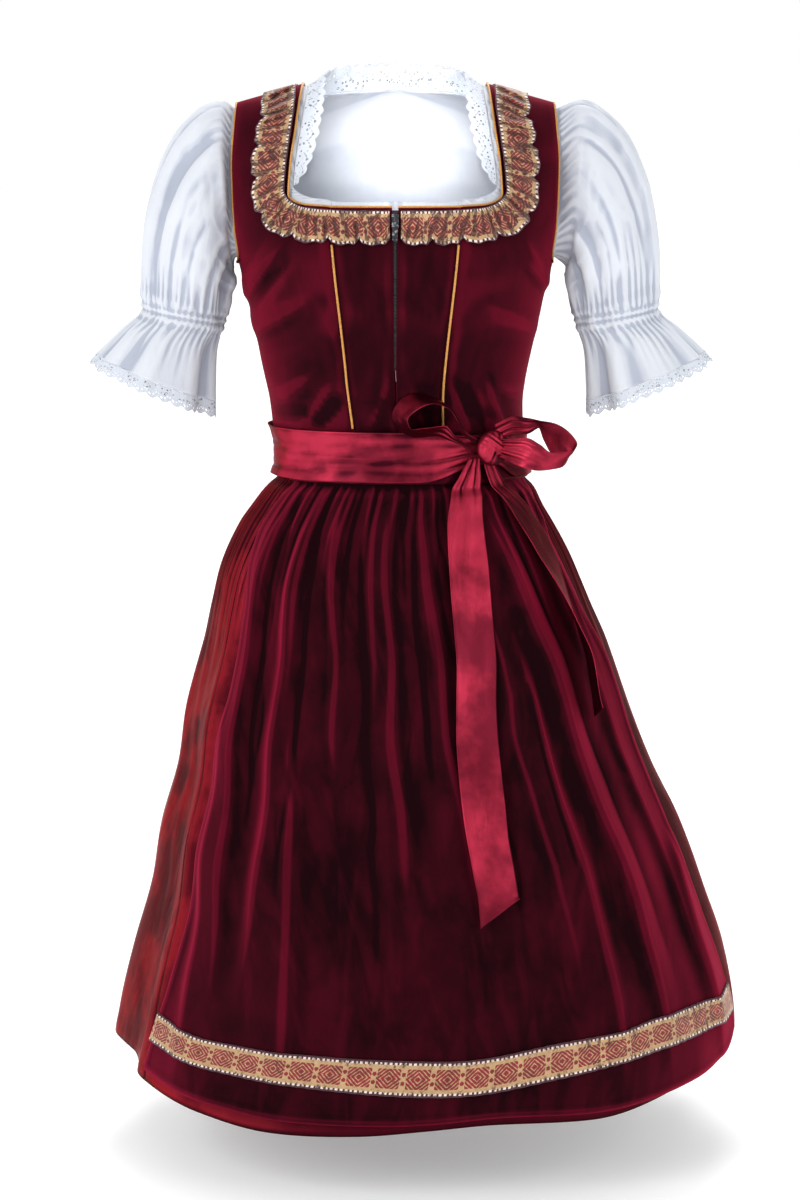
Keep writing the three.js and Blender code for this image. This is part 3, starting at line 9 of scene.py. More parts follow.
import bmesh
import bpy
import numpy as np
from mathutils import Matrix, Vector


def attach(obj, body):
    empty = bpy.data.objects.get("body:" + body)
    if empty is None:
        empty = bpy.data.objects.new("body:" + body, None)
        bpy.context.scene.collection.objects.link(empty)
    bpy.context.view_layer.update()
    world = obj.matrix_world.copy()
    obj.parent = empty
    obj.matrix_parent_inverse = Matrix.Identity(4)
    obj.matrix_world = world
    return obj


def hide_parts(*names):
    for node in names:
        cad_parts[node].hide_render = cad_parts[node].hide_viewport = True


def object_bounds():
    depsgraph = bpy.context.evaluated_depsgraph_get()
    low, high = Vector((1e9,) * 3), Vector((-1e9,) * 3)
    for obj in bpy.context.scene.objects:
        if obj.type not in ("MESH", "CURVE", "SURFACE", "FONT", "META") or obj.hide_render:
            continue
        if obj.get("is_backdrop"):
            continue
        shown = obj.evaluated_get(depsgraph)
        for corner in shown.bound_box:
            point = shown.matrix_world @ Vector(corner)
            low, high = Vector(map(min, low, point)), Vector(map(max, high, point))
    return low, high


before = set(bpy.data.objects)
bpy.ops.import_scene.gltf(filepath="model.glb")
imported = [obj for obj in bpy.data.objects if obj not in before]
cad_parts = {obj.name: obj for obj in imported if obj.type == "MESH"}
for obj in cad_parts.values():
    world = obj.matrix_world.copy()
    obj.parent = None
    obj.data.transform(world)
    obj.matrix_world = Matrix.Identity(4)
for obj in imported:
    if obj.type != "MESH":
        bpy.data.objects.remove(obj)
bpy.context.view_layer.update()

# %% [markdown]
# ## Camera
# A garment picture is taken from a few metres off with a long lens, so that the hem is not much
# larger than the neck. The camera stands at shoulder height and looks a little down.

# %% Place the camera
SENSOR_MM, LENS_MM = 36, 88.5
CAMERA_AWAY, CAMERA_HIGH, LOOKS_DOWN = 3.2, -0.03, 9.4

camera_data = bpy.data.cameras.new("camera")
camera_data.sensor_fit = "VERTICAL"
camera_data.sensor_height = SENSOR_MM
camera_data.lens = LENS_MM
camera = bpy.data.objects.new("camera", camera_data)
bpy.context.scene.collection.objects.link(camera)
camera.location = (0, -CAMERA_AWAY, CAMERA_HIGH)
camera.rotation_euler = (math.radians(90 - LOOKS_DOWN), 0, 0)
bpy.context.scene.camera = camera

# %% [markdown]
# ## Tables
# A pattern cutter works from measurements. Each table below is one set of them in millimetres
# and degrees, a row for each height or seam point, with the column names in its first line.

# %% Read tables smoothly
def table(names, *entries):
    """Named columns of numbers."""
    return {name: np.array(column, float) for name, column in zip(names.split(), zip(*entries))}


def each_row(measures):
    """The table's rows in turn, each with its columns by name."""
    return [dict(zip(measures, values)) for values in zip(*measures.values())]


def slopes(x, y):
    """Slopes of a curve through the points that never swings past them."""
    step = np.diff(x).reshape((-1,) + (1,) * (y.ndim - 1))
    rate = np.diff(y, axis=0) / step
    slope = np.zeros_like(y)
    before, after = rate[:-1], rate[1:]
    same_way = before * after > 0
    mean = 2 * before * after / np.where(same_way, before + after, 1)
    slope[1:-1] = np.where(same_way, mean, 0)
    slope[0], slope[-1] = rate[0], rate[-1]
    return slope


def curve_through(x, y, value):
    """Values of a smooth curve through the points (x, y)."""
    x, y = np.asarray(x, float), np.asarray(y, float)
    if x[0] > x[-1]:
        x, y = x[::-1], y[::-1]
    value = np.clip(value, x[0], x[-1])
    i = np.clip(np.searchsorted(x, value, side="right") - 1, 0, len(x) - 2)
    slope = slopes(x, y)
    shape = np.shape(value) + (1,) * (y.ndim - 1)
    span = np.reshape(x[i + 1] - x[i], shape)
    t = np.reshape(value - x[i], shape) / span
    start = (1 + 2 * t) * (1 - t) ** 2 * y[i] + t * (1 - t) ** 2 * span * slope[i]
    end = t**2 * (3 - 2 * t) * y[i + 1] + t**2 * (t - 1) * span * slope[i + 1]
    return start + end


def read(measures, key, value, column):
    return curve_through(measures[key], measures[column], np.asarray(value, float))


def mix(a, b, t):
    return a + (b - a) * t


def ease(start, end, value):
    """0 before start, 1 after end, smooth between."""
    t = np.clip((np.asarray(value, float) - start) / (end - start), 0, 1)
    return t * t * (3 - 2 * t)


# %% Measurements of the body's surfaces
VELVET_WALL = 1.1
TAFFETA_WALL = 0.7
COTTON_WALL = 0.6
ROUNDNESS = 2.2
WAIST_SEAM_Z = -402
SHOULDER_SLOPE = 0.28
STRAP_NECK_X = 100
SHOULDER_ROUND = 70
CUP_RISE = 7
CUP_X, CUP_Z, CUP_WIDE, CUP_TALL = 85, -200, 45, 55

TORSO = table(
    "z half front back shift",
    (30, 186, 78, 92, -5),
    (-60, 186, 94, 100, -5),
    (-110, 184, 111, 106, -5),
    (-150, 180, 125, 106, -5),
    (-192, 169, 132, 104, -5),
    (-230, 160, 129, 101, -5),
    (-270, 150, 120, 97, -5),
    (-310, 142, 110, 92, -5),
    (-335, 138, 105, 90, -4),
    (-361, 136, 101, 88, -2),
    (-380, 132.5, 97.5, 85.5, 0),
    (-402, 131, 96.6, 84.3, 1),
)

SKIRT = table(
    "z half shift",
    (-402, 131, 1),
    (-421, 135, 1),
    (-432, 146, 0),
    (-454, 160, -3),
    (-471, 171, -4),
    (-515, 193, -3),
    (-560, 209, 1),
    (-604, 224, 6),
    (-672, 245, 8),
    (-740, 264, 16),
    (-808, 290, 23),
    (-877, 309, 30),
    (-946, 331, 32),
    (-1016, 346, 31),
    (-1090, 356, 25),
)

SKIRT_WAIST_HALF = 135
SKIRT_HALF_SPREAD = 219
FRONT_WAIST, FRONT_SPREAD = 100, 185
BACK_WAIST, BACK_SPREAD = 88, 202


# %% [markdown]
# ## Surfaces to lay cloth on
# The bodice and skirt are built on rounded sections, one for each height. A point is found from
# its angle round the body and its height, and cloth laid over cloth is the same point moved out.
# Sculpting would give softer chance shapes, but functions keep every layer clear of the next.

# %% Points on the torso, the skirt and the waist
def across_share(angle):
    return np.sign(np.sin(angle)) * np.abs(np.sin(angle)) ** (2 / ROUNDNESS)


def depth_share(angle):
    return np.abs(np.cos(angle)) ** (2 / ROUNDNESS)


def ridge_height(x):
    return SHOULDER_SLOPE * (STRAP_NECK_X - np.abs(x))


def torso_point(angle, z, inset=0.0):
    """A point on the bodice's face at an angle from the centre front, moved in by inset."""
    angle, z, inset = np.broadcast_arrays(np.asarray(angle, float), z, inset)
    x = (read(TORSO, "z", z, "half") - inset) * across_share(angle)
    rise = np.clip((ridge_height(x) - inset - z) / SHOULDER_ROUND, 0, 1)
    fullness = np.sqrt(1 - (1 - rise) ** 2) * depth_share(angle)
    middle = read(TORSO, "z", z, "shift")
    cup = CUP_RISE * np.exp(-(((np.abs(x) - CUP_X) / CUP_WIDE) ** 2) - ((z - CUP_Z) / CUP_TALL) ** 2)
    front = -(read(TORSO, "z", z, "front") - inset + cup) * fullness
    back = (read(TORSO, "z", z, "back") - inset) * fullness
    return np.stack([x + middle, np.where(np.cos(angle) < 0, back, front), z], axis=-1)


def torso_angle(x, z, back=False, inset=0.0):
    """The angle at which the torso stands a distance x from its middle."""
    half = read(TORSO, "z", z, "half") - inset
    angle = np.arcsin(np.minimum(1, np.asarray(x, float) / half) ** (ROUNDNESS / 2))
    return math.pi - angle if back else angle


def skirt_point(degrees, z, lift):
    angle, z, lift = np.broadcast_arrays(np.radians(degrees), z, lift)
    half = read(SKIRT, "z", z, "half")
    spread = (half - SKIRT_WAIST_HALF) / SKIRT_HALF_SPREAD
    front = np.cos(angle) > 0
    depth = np.where(front, FRONT_WAIST + FRONT_SPREAD * spread, BACK_WAIST + BACK_SPREAD * spread)
    x = read(SKIRT, "z", z, "shift") + (half + lift) * across_share(angle)
    y = np.where(front, -1, 1) * (depth + lift) * depth_share(angle)
    return np.stack([x, y, z], axis=-1)


def wrap_point(degrees, z, lift):
    angle, z, lift = np.broadcast_arrays(np.radians(degrees), z, lift)
    half = read(WAIST_WRAP, "z", z, "half") + lift
    front = np.cos(angle) > 0
    depth = half - np.where(front, WRAP_FRONT_LESS, WRAP_BACK_LESS)
    x = read(TORSO, "z", z, "shift") + half * across_share(angle)
    return np.stack([x, np.where(front, -1, 1) * depth * depth_share(angle), z], axis=-1)


WAIST_WRAP = table("z half", (-364, 138), (-372, 136), (-384, 134.4), (-402, 134.6), (-421, 139))
WRAP_FRONT_LESS = 34.6
WRAP_BACK_LESS = 46.6

# %% [markdown]
# ## Sheets of cloth
# Every panel is a grid of points, the way cloth is a grid of threads. The grid becomes a mesh of
# four-sided faces, and a Solidify modifier gives it its thickness inwards. The map of each sheet
# is in metres along and across the cloth, so that weaves keep their real size.

# %% Turn a grid of points into a sheet
pieces = {}


def grid_normals(grid, closed):
    down = np.gradient(grid, axis=0)
    if closed:
        right = (np.roll(grid, -1, axis=1) - np.roll(grid, 1, axis=1)) / 2
    else:
        right = np.gradient(grid, axis=1)
    normal = np.cross(down, right)
    return normal / np.maximum(np.linalg.norm(normal, axis=-1, keepdims=True), 1e-9)


def facing_away(grid, core, closed=False):
    """The grid, turned over if its faces look at the core."""
    outwards = (grid_normals(grid, closed) * (grid - np.array(core, float))).sum()
    return grid if outwards >= 0 else grid[:, ::-1]


def lengths(grid, axis):
    """How far each point is along the cloth from the grid's first row or column."""
    step = np.linalg.norm(np.diff(grid, axis=axis), axis=-1)
    start = np.zeros_like(np.take(step, [0], axis=axis))
    return np.concatenate([start, np.cumsum(step, axis=axis)], axis=axis)


def cloth_map(grid, closed):
    if closed:
        grid = np.concatenate([grid, grid[:, :1]], axis=1)
    along = lengths(grid, 1)
    along -= along[:, -1:] / 2
    return np.stack([along, -lengths(grid, 0)], axis=-1) / 1000


def moved_out(grid, amount, closed=False):
    return grid + grid_normals(grid, closed) * np.asarray(amount)[..., None]


SEAM_PULL = 0.05


def drawn_in(grid):
    """The same sheet with its free edges drawn in by half a seam."""
    out = grid.copy()
    for edge, beside in ((0, 1), (-1, -2)):
        for take in (lambda g, k: g[k], lambda g, k: g[:, k]):
            pull = take(grid, beside) - take(grid, edge)
            size = np.maximum(np.linalg.norm(pull, axis=-1, keepdims=True), 1e-6)
            take(out, edge)[...] += pull / size * np.minimum(SEAM_PULL, size / 2)
    return out


def mesh_from(name, points, faces, uv_of_corner, material):
    mesh = bpy.data.meshes.new(name)
    mesh.from_pydata((points / 1000).tolist(), [], faces)
    mesh.polygons.foreach_set("use_smooth", [True] * len(mesh.polygons))
    if uv_of_corner is not None:
        layer = mesh.uv_layers.new(name="cloth")
        layer.data.foreach_set("uv", np.asarray(uv_of_corner, float).ravel())
    mesh.materials.append(material)
    mesh.validate()
    piece = bpy.data.objects.new(name, mesh)
    bpy.context.scene.collection.objects.link(piece)
    pieces[name] = piece
    return piece


CREST_REACH = 6


def crests(grid, closed):
    """How far each point stands above the cloth a few millimetres to either side of it."""
    total = 0
    for axis in (0, 1):
        count = grid.shape[axis]
        reach = max(1, round(CREST_REACH / np.linalg.norm(np.diff(grid, axis=axis), axis=-1).mean()))
        if closed and axis == 1:
            before, after = np.roll(grid, reach, axis=1), np.roll(grid, -reach, axis=1)
        else:
            before = np.take(grid, np.maximum(np.arange(count) - reach, 0), axis=axis)
            after = np.take(grid, np.minimum(np.arange(count) + reach, count - 1), axis=axis)
        total = total + ((grid - (before + after) / 2) * grid_normals(grid, closed)).sum(axis=-1)
    return total


def sheet(name, grid, wall, material, closed=False, cloth_uv=None):
    """A sheet of cloth on a grid; its outer face is the grid itself."""
    rows, columns = grid.shape[:2]
    uv = cloth_map(grid, closed) if cloth_uv is None else cloth_uv
    faces, corners = [], []
    for i in range(rows - 1):
        for j in range(columns if closed else columns - 1):
            k = (j + 1) % columns
            face = [i * columns + j, (i + 1) * columns + j, (i + 1) * columns + k, i * columns + k]
            faces.append(face)
            corners.extend([uv[i, j], uv[i + 1, j], uv[i + 1, j + 1], uv[i, j + 1]])
    piece = mesh_from(name, grid.reshape(-1, 3), faces, corners, material)
    crest_mask = piece.data.attributes.new("crest", "FLOAT", "POINT")
    crest_mask.data.foreach_set("value", np.clip(crests(grid, closed), -1, 1).ravel())
    solidify = piece.modifiers.new("thickness", "SOLIDIFY")
    solidify.thickness = wall / 1000
    solidify.offset = -1
    solidify.use_rim = True
    return piece


def cloth_area(grid, closed=False):
    """Area of a grid in square metres."""
    if closed:
        grid = np.concatenate([grid, grid[:, :1]], axis=1)
    a, b, c, d = grid[:-1, :-1], grid[1:, :-1], grid[1:, 1:], grid[:-1, 1:]
    area = np.linalg.norm(np.cross(b - a, c - a), axis=-1) + np.linalg.norm(np.cross(c - a, d - a), axis=-1)
    return float(area.sum()) / 2e6


def hem_length(grid):
    """Length of a grid's last row in millimetres."""
    return round(float(lengths(grid, 1)[-1, -1]))


def dress_piece(piece, slot, *nodes):
    """The piece moves with the dress, and stands for the named solids."""
    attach(piece, "dress")
    if nodes:
        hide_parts(*nodes)
    return piece


# %% [markdown]
# ## Cloth that is never quite even
# Hung cloth has small dents and swellings that no measurement gives. A few slow waves of
# different length, added together, leave a surface that looks handled but stays the same each
# time the file is run.

# %% Slow unevenness
def unevenness(u, v, size, seed):
    """A soft, repeatable surface between about -1 and 1; size is its wavelength."""
    pick = np.random.default_rng(seed)
    total = np.zeros(np.broadcast(u, v).shape)
    for _ in range(7):
        turn, phase = pick.uniform(0, math.pi), pick.uniform(0, 2 * math.pi)
        wave = size * pick.uniform(0.6, 1.6)
        total += np.sin(2 * math.pi * (u * math.cos(turn) + v * math.sin(turn)) / wave + phase)
    return total / 4.5


def crest(offset, lean):
    """Height across a fold, from 1 to 0: steep on the side it leans to, long on the other."""
    side = np.where(offset * lean > 0, 0.6, 1.5)
    return np.exp(-(np.abs(offset / side) ** 1.5))


def crumpled(u, v, size, seed):
    """Sharp-ridged crumples of stiff cloth, from about -1 to 1."""
    ridges = 1 - 2.2 * np.abs(unevenness(u, v, size, seed))
    return 0.6 * ridges + 0.4 * unevenness(u * 1.7, v * 1.7, size, seed + 1)


# %% [markdown]
# ## Building materials from nodes
# Every finish is made of nodes, so it has no picture files and stays sharp at any size. A small
# helper adds a node and fills its sockets, and a second one does sums. An effect that more than
# one finish needs is a node group with named inputs and outputs.

# %% Node helpers
def fill(tree, socket, value):
    """Link a socket to another one, or give it a plain value."""
    if isinstance(value, bpy.types.NodeSocket):
        tree.links.new(value, socket)
    else:
        socket.default_value = value


def add_node(tree, kind, settings=None, **sockets):
    node = tree.nodes.new(kind)
    for key, value in (settings or {}).items():
        setattr(node, key, value)
    for key, value in sockets.items():
        fill(tree, node.inputs[int(key[1:]) if key[0] == "_" else key.replace("_", " ")], value)
    return node


def sums(tree, operation, a, b=0.0, c=0.0):
    return add_node(tree, "ShaderNodeMath", {"operation": operation}, _0=a, _1=b, _2=c).outputs[0]


def vector_sums(tree, operation, a, b):
    return add_node(tree, "ShaderNodeVectorMath", {"operation": operation}, _0=a, _1=b).outputs


def noise_over(tree, vector, scale, **sockets):
    return add_node(tree, "ShaderNodeTexNoise", Vector=vector, Scale=scale, **sockets).outputs["Fac"]


def blend_colours(tree, amount, first, second, way="MIX"):
    node = add_node(tree, "ShaderNodeMix", {"data_type": "RGBA", "blend_type": way})
    for index, value in ((0, amount), (6, first), (7, second)):
        fill(tree, node.inputs[index], value)
    return node.outputs[2]


def between(tree, value, low, high, start=0.0, end=1.0):
    """The value moved from low..high to start..end, smoothly."""
    node = add_node(tree, "ShaderNodeMapRange", {"interpolation_type": "SMOOTHSTEP"})
    for index, number in enumerate((value, low, high, start, end)):
        fill(tree, node.inputs[index], number)
    return node.outputs[0]


def node_group(name, inputs, outputs):
    """A group whose outputs are values; an input with no value of its own takes a vector."""
    group = bpy.data.node_groups.new(name, "ShaderNodeTree")
    for label, value in inputs.items():
        kind = "NodeSocketVector" if value is None else "NodeSocketFloat"
        socket = group.interface.new_socket(label, in_out="INPUT", socket_type=kind)
        if value is not None:
            socket.default_value = value
    for label in outputs:
        group.interface.new_socket(label, in_out="OUTPUT", socket_type="NodeSocketFloat")
    return group, group.nodes.new("NodeGroupInput").outputs, group.nodes.new("NodeGroupOutput").inputs


def use_group(tree, group, **sockets):
    node = tree.nodes.new("ShaderNodeGroup")
    node.node_tree = group
    for key, value in sockets.items():
        fill(tree, node.inputs[key.replace("_", " ")], value)
    return node.outputs


def new_finish(name):
    """An empty material with its shader, its cloth map in metres and its place in space."""
    material = bpy.data.materials.new(name)
    material.use_nodes = True
    tree = material.node_tree
    tree.nodes.clear()
    shader = tree.nodes.new("ShaderNodeBsdfPrincipled")
    output = tree.nodes.new("ShaderNodeOutputMaterial")
    tree.links.new(shader.outputs[0], output.inputs[0])
    cloth_uv = add_node(tree, "ShaderNodeUVMap", {"uv_map": "cloth"}).outputs[0]
    place = tree.nodes.new("ShaderNodeTexCoord").outputs["Object"]
    return material, tree, shader, cloth_uv, place


def set_shader(tree, shader, **sockets):
    for key, value in sockets.items():
        fill(tree, shader.inputs[key.replace("_", " ")], value)


def bump(tree, height, strength, distance):
    return add_node(tree, "ShaderNodeBump", Height=height, Strength=strength, Distance=distance).outputs[0]


# %% [markdown]
# ## Effects shared by the cloths
# Five effects serve several finishes: a plain weave whose threads pass over and under each
# other, a slow cloud that varies a colour over a hand's width, fine crush marks, which are noise
# stretched along one way of the cloth, the crests and troughs of folds, which each sheet carries
# as a number at every point and which the finishes use for painted highlights and painted shade,
# and a painted lit side, which depends only on the way the cloth faces.

# %% Plain weave, cloud, crush, fold and painted lit side groups
plain_weave, given, result = node_group(
    "plain weave", {"Cloth Map": None, "Threads per Metre": 1200.0, "Slubs": 0.3}, ["Height", "Warp"]
)
split = add_node(plain_weave, "ShaderNodeSeparateXYZ", Vector=given["Cloth Map"]).outputs
turns = sums(plain_weave, "MULTIPLY", given["Threads per Metre"], math.pi)
across_wave = sums(plain_weave, "SINE", sums(plain_weave, "MULTIPLY", split[0], turns))
along_wave = sums(plain_weave, "SINE", sums(plain_weave, "MULTIPLY", split[1], turns))
crossing = sums(plain_weave, "MULTIPLY", across_wave, along_wave)
stretched = vector_sums(plain_weave, "MULTIPLY", given["Cloth Map"], (260, 9, 1))[0]
slub_noise = noise_over(plain_weave, stretched, 1.0, Detail=3.0)
slubs = sums(plain_weave, "MULTIPLY", slub_noise, given["Slubs"])
over_and_under = sums(plain_weave, "MULTIPLY_ADD", crossing, 0.5, 0.5)
plain_weave.links.new(sums(plain_weave, "ADD", over_and_under, slubs), result["Height"])
plain_weave.links.new(between(plain_weave, crossing, -0.3, 0.3), result["Warp"])

cloud, given, result = node_group("cloud", {"Place": None, "Size": 0.1, "Contrast": 0.2}, ["Amount"])
scale = sums(cloud, "DIVIDE", 1.0, given["Size"])
noise = noise_over(cloud, given["Place"], scale, Detail=5.0, Roughness=0.6)
low = sums(cloud, "SUBTRACT", 0.5, given["Contrast"])
high = sums(cloud, "ADD", 0.5, given["Contrast"])
cloud.links.new(between(cloud, noise, low, high), result["Amount"])

crush, given, result = node_group(
    "crush marks", {"Cloth Map": None, "Marks per Metre": 60.0, "Stretch": 0.3}, ["Height"]
)
flatter = add_node(crush, "ShaderNodeCombineXYZ", X=1.0, Y=given["Stretch"], Z=1.0).outputs[0]
stretched = vector_sums(crush, "MULTIPLY", given["Cloth Map"], flatter)[0]
noise = noise_over(crush, stretched, given["Marks per Metre"], Detail=4.0, Distortion=0.6)
ridge = sums(crush, "ABSOLUTE", sums(crush, "SUBTRACT", noise, 0.5))
crush.links.new(between(crush, ridge, 0.0, 0.16), result["Height"])

folds, given, result = node_group("fold crests", {"Full at": 0.8}, ["Crest", "Trough"])
height = add_node(folds, "ShaderNodeAttribute", {"attribute_name": "crest"}).outputs["Fac"]
lowest = sums(folds, "MULTIPLY", given["Full at"], -1.0)
folds.links.new(between(folds, height, 0.0, given["Full at"]), result["Crest"])
folds.links.new(between(folds, height, 0.0, lowest), result["Trough"])

# Painted light: how nearly the cloth faces a fixed way, where the taffeta is painted lighter.
turned, given, result = node_group("cloth turn", {"Way": None, "From": 0.4, "To": 0.9}, ["Amount"])
facing = add_node(turned, "ShaderNodeNewGeometry").outputs["Normal"]
likeness = sums(turned, "ABSOLUTE", vector_sums(turned, "DOT_PRODUCT", facing, given["Way"])["Value"])
turned.links.new(between(turned, likeness, given["From"], given["To"]), result["Amount"])
print("node groups:", [group.name for group in bpy.data.node_groups])

# %% [markdown]
# ## Velvet
# Velvet is dark where one looks down into its pile and glows where the pile is seen from its
# side. A layer weight paints that sheen into the base colour, and the shader's sheen adds the rim.
# Crests of folds get a painted highlight and troughs painted shade. The apron is given a brighter
# painted sheen than the bodice, as if its pile ran down and the bodice's up.

# %% Mix the two velvets
def burgundy_velvet(name, into_pile, painted_sheen_colour, sheen_start, sheen_end, painted_fold_light):
    material, tree, shader, cloth_uv, place = new_finish(name)
    patches = use_group(tree, cloud, Place=place, Size=0.11, Contrast=0.2)["Amount"]
    brushed = use_group(tree, crush, Cloth_Map=cloth_uv, Marks_per_Metre=30.0, Stretch=0.3)["Height"]
    pile = noise_over(tree, cloth_uv, 1500.0, Detail=2.0)
    # Painted sheen: the layer weight mixes the base colour towards the lighter colour where the cloth is seen
    # edge on.
    seen_along = add_node(tree, "ShaderNodeLayerWeight", Blend=0.5).outputs["Facing"]
    glow = between(tree, seen_along, sheen_start, sheen_end)
    fold = use_group(tree, folds, Full_at=0.8)
    nap_and_painted_light = sums(tree, "ADD", sums(tree, "MULTIPLY", patches, 0.11), sums(tree, "MULTIPLY", brushed, 0.07))
    # Painted highlight on fold crests and painted shade in fold troughs.
    painted_crest_highlight = sums(tree, "MULTIPLY", sums(tree, "POWER", fold["Crest"], 2.0), painted_fold_light)
    nap_and_painted_light = sums(tree, "ADD", sums(tree, "ADD", glow, nap_and_painted_light), painted_crest_highlight)
    nap_and_painted_light = sums(tree, "SUBTRACT", nap_and_painted_light, sums(tree, "MULTIPLY", fold["Trough"], painted_fold_light * 0.6))
    nap_and_painted_light = add_node(tree, "ShaderNodeClamp", Value=nap_and_painted_light).outputs[0]
    colour = blend_colours(tree, nap_and_painted_light, into_pile, painted_sheen_colour)
    grain = between(tree, pile, 0.3, 0.7, 0.7, 1.15)
    speckle = add_node(tree, "ShaderNodeCombineColor", Red=grain, Green=grain, Blue=grain).outputs[0]
    colour = blend_colours(tree, 1.0, colour, speckle, "MULTIPLY")
    relief = sums(tree, "ADD", sums(tree, "MULTIPLY", pile, 0.3), sums(tree, "MULTIPLY", brushed, 0.25))
    set_shader(
        tree, shader, Base_Color=colour, Roughness=0.9, Specular_IOR_Level=0.05, Sheen_Weight=0.16,
        Sheen_Roughness=0.3, Sheen_Tint=(0.80, 0.03, 0.10, 1), Normal=bump(tree, relief, 0.35, 0.0008),
    )
    return material


velvet = burgundy_velvet(
    "apron velvet", into_pile=(0.0085, 0.0005, 0.0018, 1), painted_sheen_colour=(0.235, 0.0062, 0.029, 1),
    sheen_start=0.09, sheen_end=0.92, painted_fold_light=0.25,
)
bodice_velvet = burgundy_velvet(
    "bodice velvet", into_pile=(0.013, 0.0006, 0.0026, 1), painted_sheen_colour=(0.165, 0.0042, 0.019, 1),
    sheen_start=0.10, sheen_end=0.98, painted_fold_light=0.34,
)

# %% [markdown]
# ## Shot taffeta
# Taffeta is a crisp, glossy plain weave whose warp and weft differ a little in colour. Its red is
# painted light where the cloth faces a chosen way, towards the lights in front, and nearly black
# elsewhere, with painted highlights on fold crests and painted shade in troughs. Its threads
# colour what they reflect, as a metal does, so part of its gloss is metallic. The ribbon is the
# same cloth in a rosier red.

# %% Mix the two taffetas
def shot_taffeta(
    name, deep, bright, tint, roughness, way, lit_from, lit_to, painted_fold_light, patch_size, patch_share
):
    material, tree, shader, cloth_uv, place = new_finish(name)
    weave = use_group(tree, plain_weave, Cloth_Map=cloth_uv, Threads_per_Metre=2200.0, Slubs=0.5)
    marks = use_group(tree, crush, Cloth_Map=cloth_uv, Marks_per_Metre=26.0, Stretch=0.35)["Height"]
    shade = use_group(tree, cloud, Place=place, Size=patch_size, Contrast=0.11)["Amount"]
    fold = use_group(tree, folds, Full_at=1.0)
    # Painted light: the colour is painted lighter where the cloth faces the given way, towards the lights in
    # front, and random patches vary it.
    lit_way = use_group(tree, turned, Way=way, From=lit_from, To=lit_to)["Amount"]
    shot = sums(tree, "MULTIPLY", lit_way, sums(tree, "MULTIPLY_ADD", shade, patch_share, 1 - patch_share))
    # Painted highlight on fold crests and painted shade in fold troughs.
    shot = sums(tree, "ADD", shot, sums(tree, "MULTIPLY", fold["Crest"], painted_fold_light * 0.6))
    shot = sums(tree, "SUBTRACT", shot, sums(tree, "MULTIPLY", fold["Trough"], painted_fold_light))
    # The colour runs from deep, the painted shade, to bright, the painted lit colour.
    colour = blend_colours(tree, add_node(tree, "ShaderNodeClamp", Value=shot).outputs[0], deep, bright)
    colour = blend_colours(tree, sums(tree, "MULTIPLY", weave["Warp"], 0.2), colour, deep)
    gloss = between(tree, marks, 0.0, 1.0, roughness + 0.12, roughness)
    relief = sums(tree, "MULTIPLY_ADD", weave["Height"], 0.12, sums(tree, "MULTIPLY", marks, 0.6))
    set_shader(
        tree, shader, Base_Color=colour, Metallic=0.75, Roughness=gloss, Specular_IOR_Level=0.2,
        Specular_Tint=tint, Normal=bump(tree, relief, 0.4, 0.0011),
    )
    return material


taffeta = shot_taffeta(
    "shot taffeta", deep=(0.034, 0.0022, 0.007, 1), bright=(0.27, 0.014, 0.024, 1),
    tint=(0.55, 0.07, 0.10, 1), roughness=0.28, way=(-0.87, -0.48, 0.10), lit_from=0.60,
    lit_to=1.0, painted_fold_light=0.6, patch_size=0.08, patch_share=0.78,
)
ribbon = shot_taffeta(
    "ribbon taffeta", deep=(0.040, 0.003, 0.008, 1), bright=(0.44, 0.026, 0.058, 1),
    tint=(0.85, 0.18, 0.26, 1), roughness=0.32, way=(-0.25, -0.95, 0.20), lit_from=0.42,
    lit_to=0.86, painted_fold_light=0.3, patch_size=0.11, patch_share=0.72,
)

# %% [markdown]
# ## Cotton
# The blouse is thin white cotton. It is a little cool in its shade and keeps the small creases
# of wear.

# %% Mix the cotton
cotton, tree, shader, cloth_uv, place = new_finish("white cotton")
weave = use_group(tree, plain_weave, Cloth_Map=cloth_uv, Threads_per_Metre=1500.0, Slubs=0.4)
marks = use_group(tree, crush, Cloth_Map=cloth_uv, Marks_per_Metre=34.0, Stretch=0.4)["Height"]
shade = use_group(tree, cloud, Place=place, Size=0.09, Contrast=0.25)["Amount"]
fold = use_group(tree, folds, Full_at=0.6)
colour = blend_colours(tree, shade, (0.46, 0.49, 0.57, 1), (0.59, 0.62, 0.68, 1))
# Painted highlight on fold crests and painted shade in fold troughs.
colour = blend_colours(tree, sums(tree, "MULTIPLY", fold["Crest"], 0.5), colour, (0.72, 0.74, 0.78, 1))
colour = blend_colours(tree, sums(tree, "MULTIPLY", fold["Trough"], 0.65), colour, (0.31, 0.34, 0.43, 1))
colour = blend_colours(tree, sums(tree, "MULTIPLY", weave["Warp"], 0.12), colour, (0.50, 0.53, 0.60, 1))
relief = sums(tree, "MULTIPLY_ADD", weave["Height"], 0.15, sums(tree, "MULTIPLY", marks, 0.55))
set_shader(
    tree, shader, Base_Color=colour, Roughness=between(tree, marks, 0.0, 1.0, 0.85, 0.72),
    Specular_IOR_Level=0.25, Normal=bump(tree, relief, 0.45, 0.0012),
)

# %% [markdown]
# ## Lace
# Cotton lace. Its small holes, each ringed with painted shade, and the larger eyelets behind each
# point are opened through the shader's alpha, worked out from the metres along and across the lace.

# %% Mix the lace
PICOT_PITCH = 14
lace, tree, shader, cloth_uv, place = new_finish("cotton lace")
split = add_node(tree, "ShaderNodeSeparateXYZ", Vector=cloth_uv).outputs
pitch = PICOT_PITCH / 1000
repeats = sums(tree, "ADD", sums(tree, "DIVIDE", split[0], pitch), 0.5)
cell = sums(tree, "SUBTRACT", sums(tree, "FRACT", repeats), 0.5)
from_point = sums(tree, "ABSOLUTE", sums(tree, "MULTIPLY", cell, pitch))


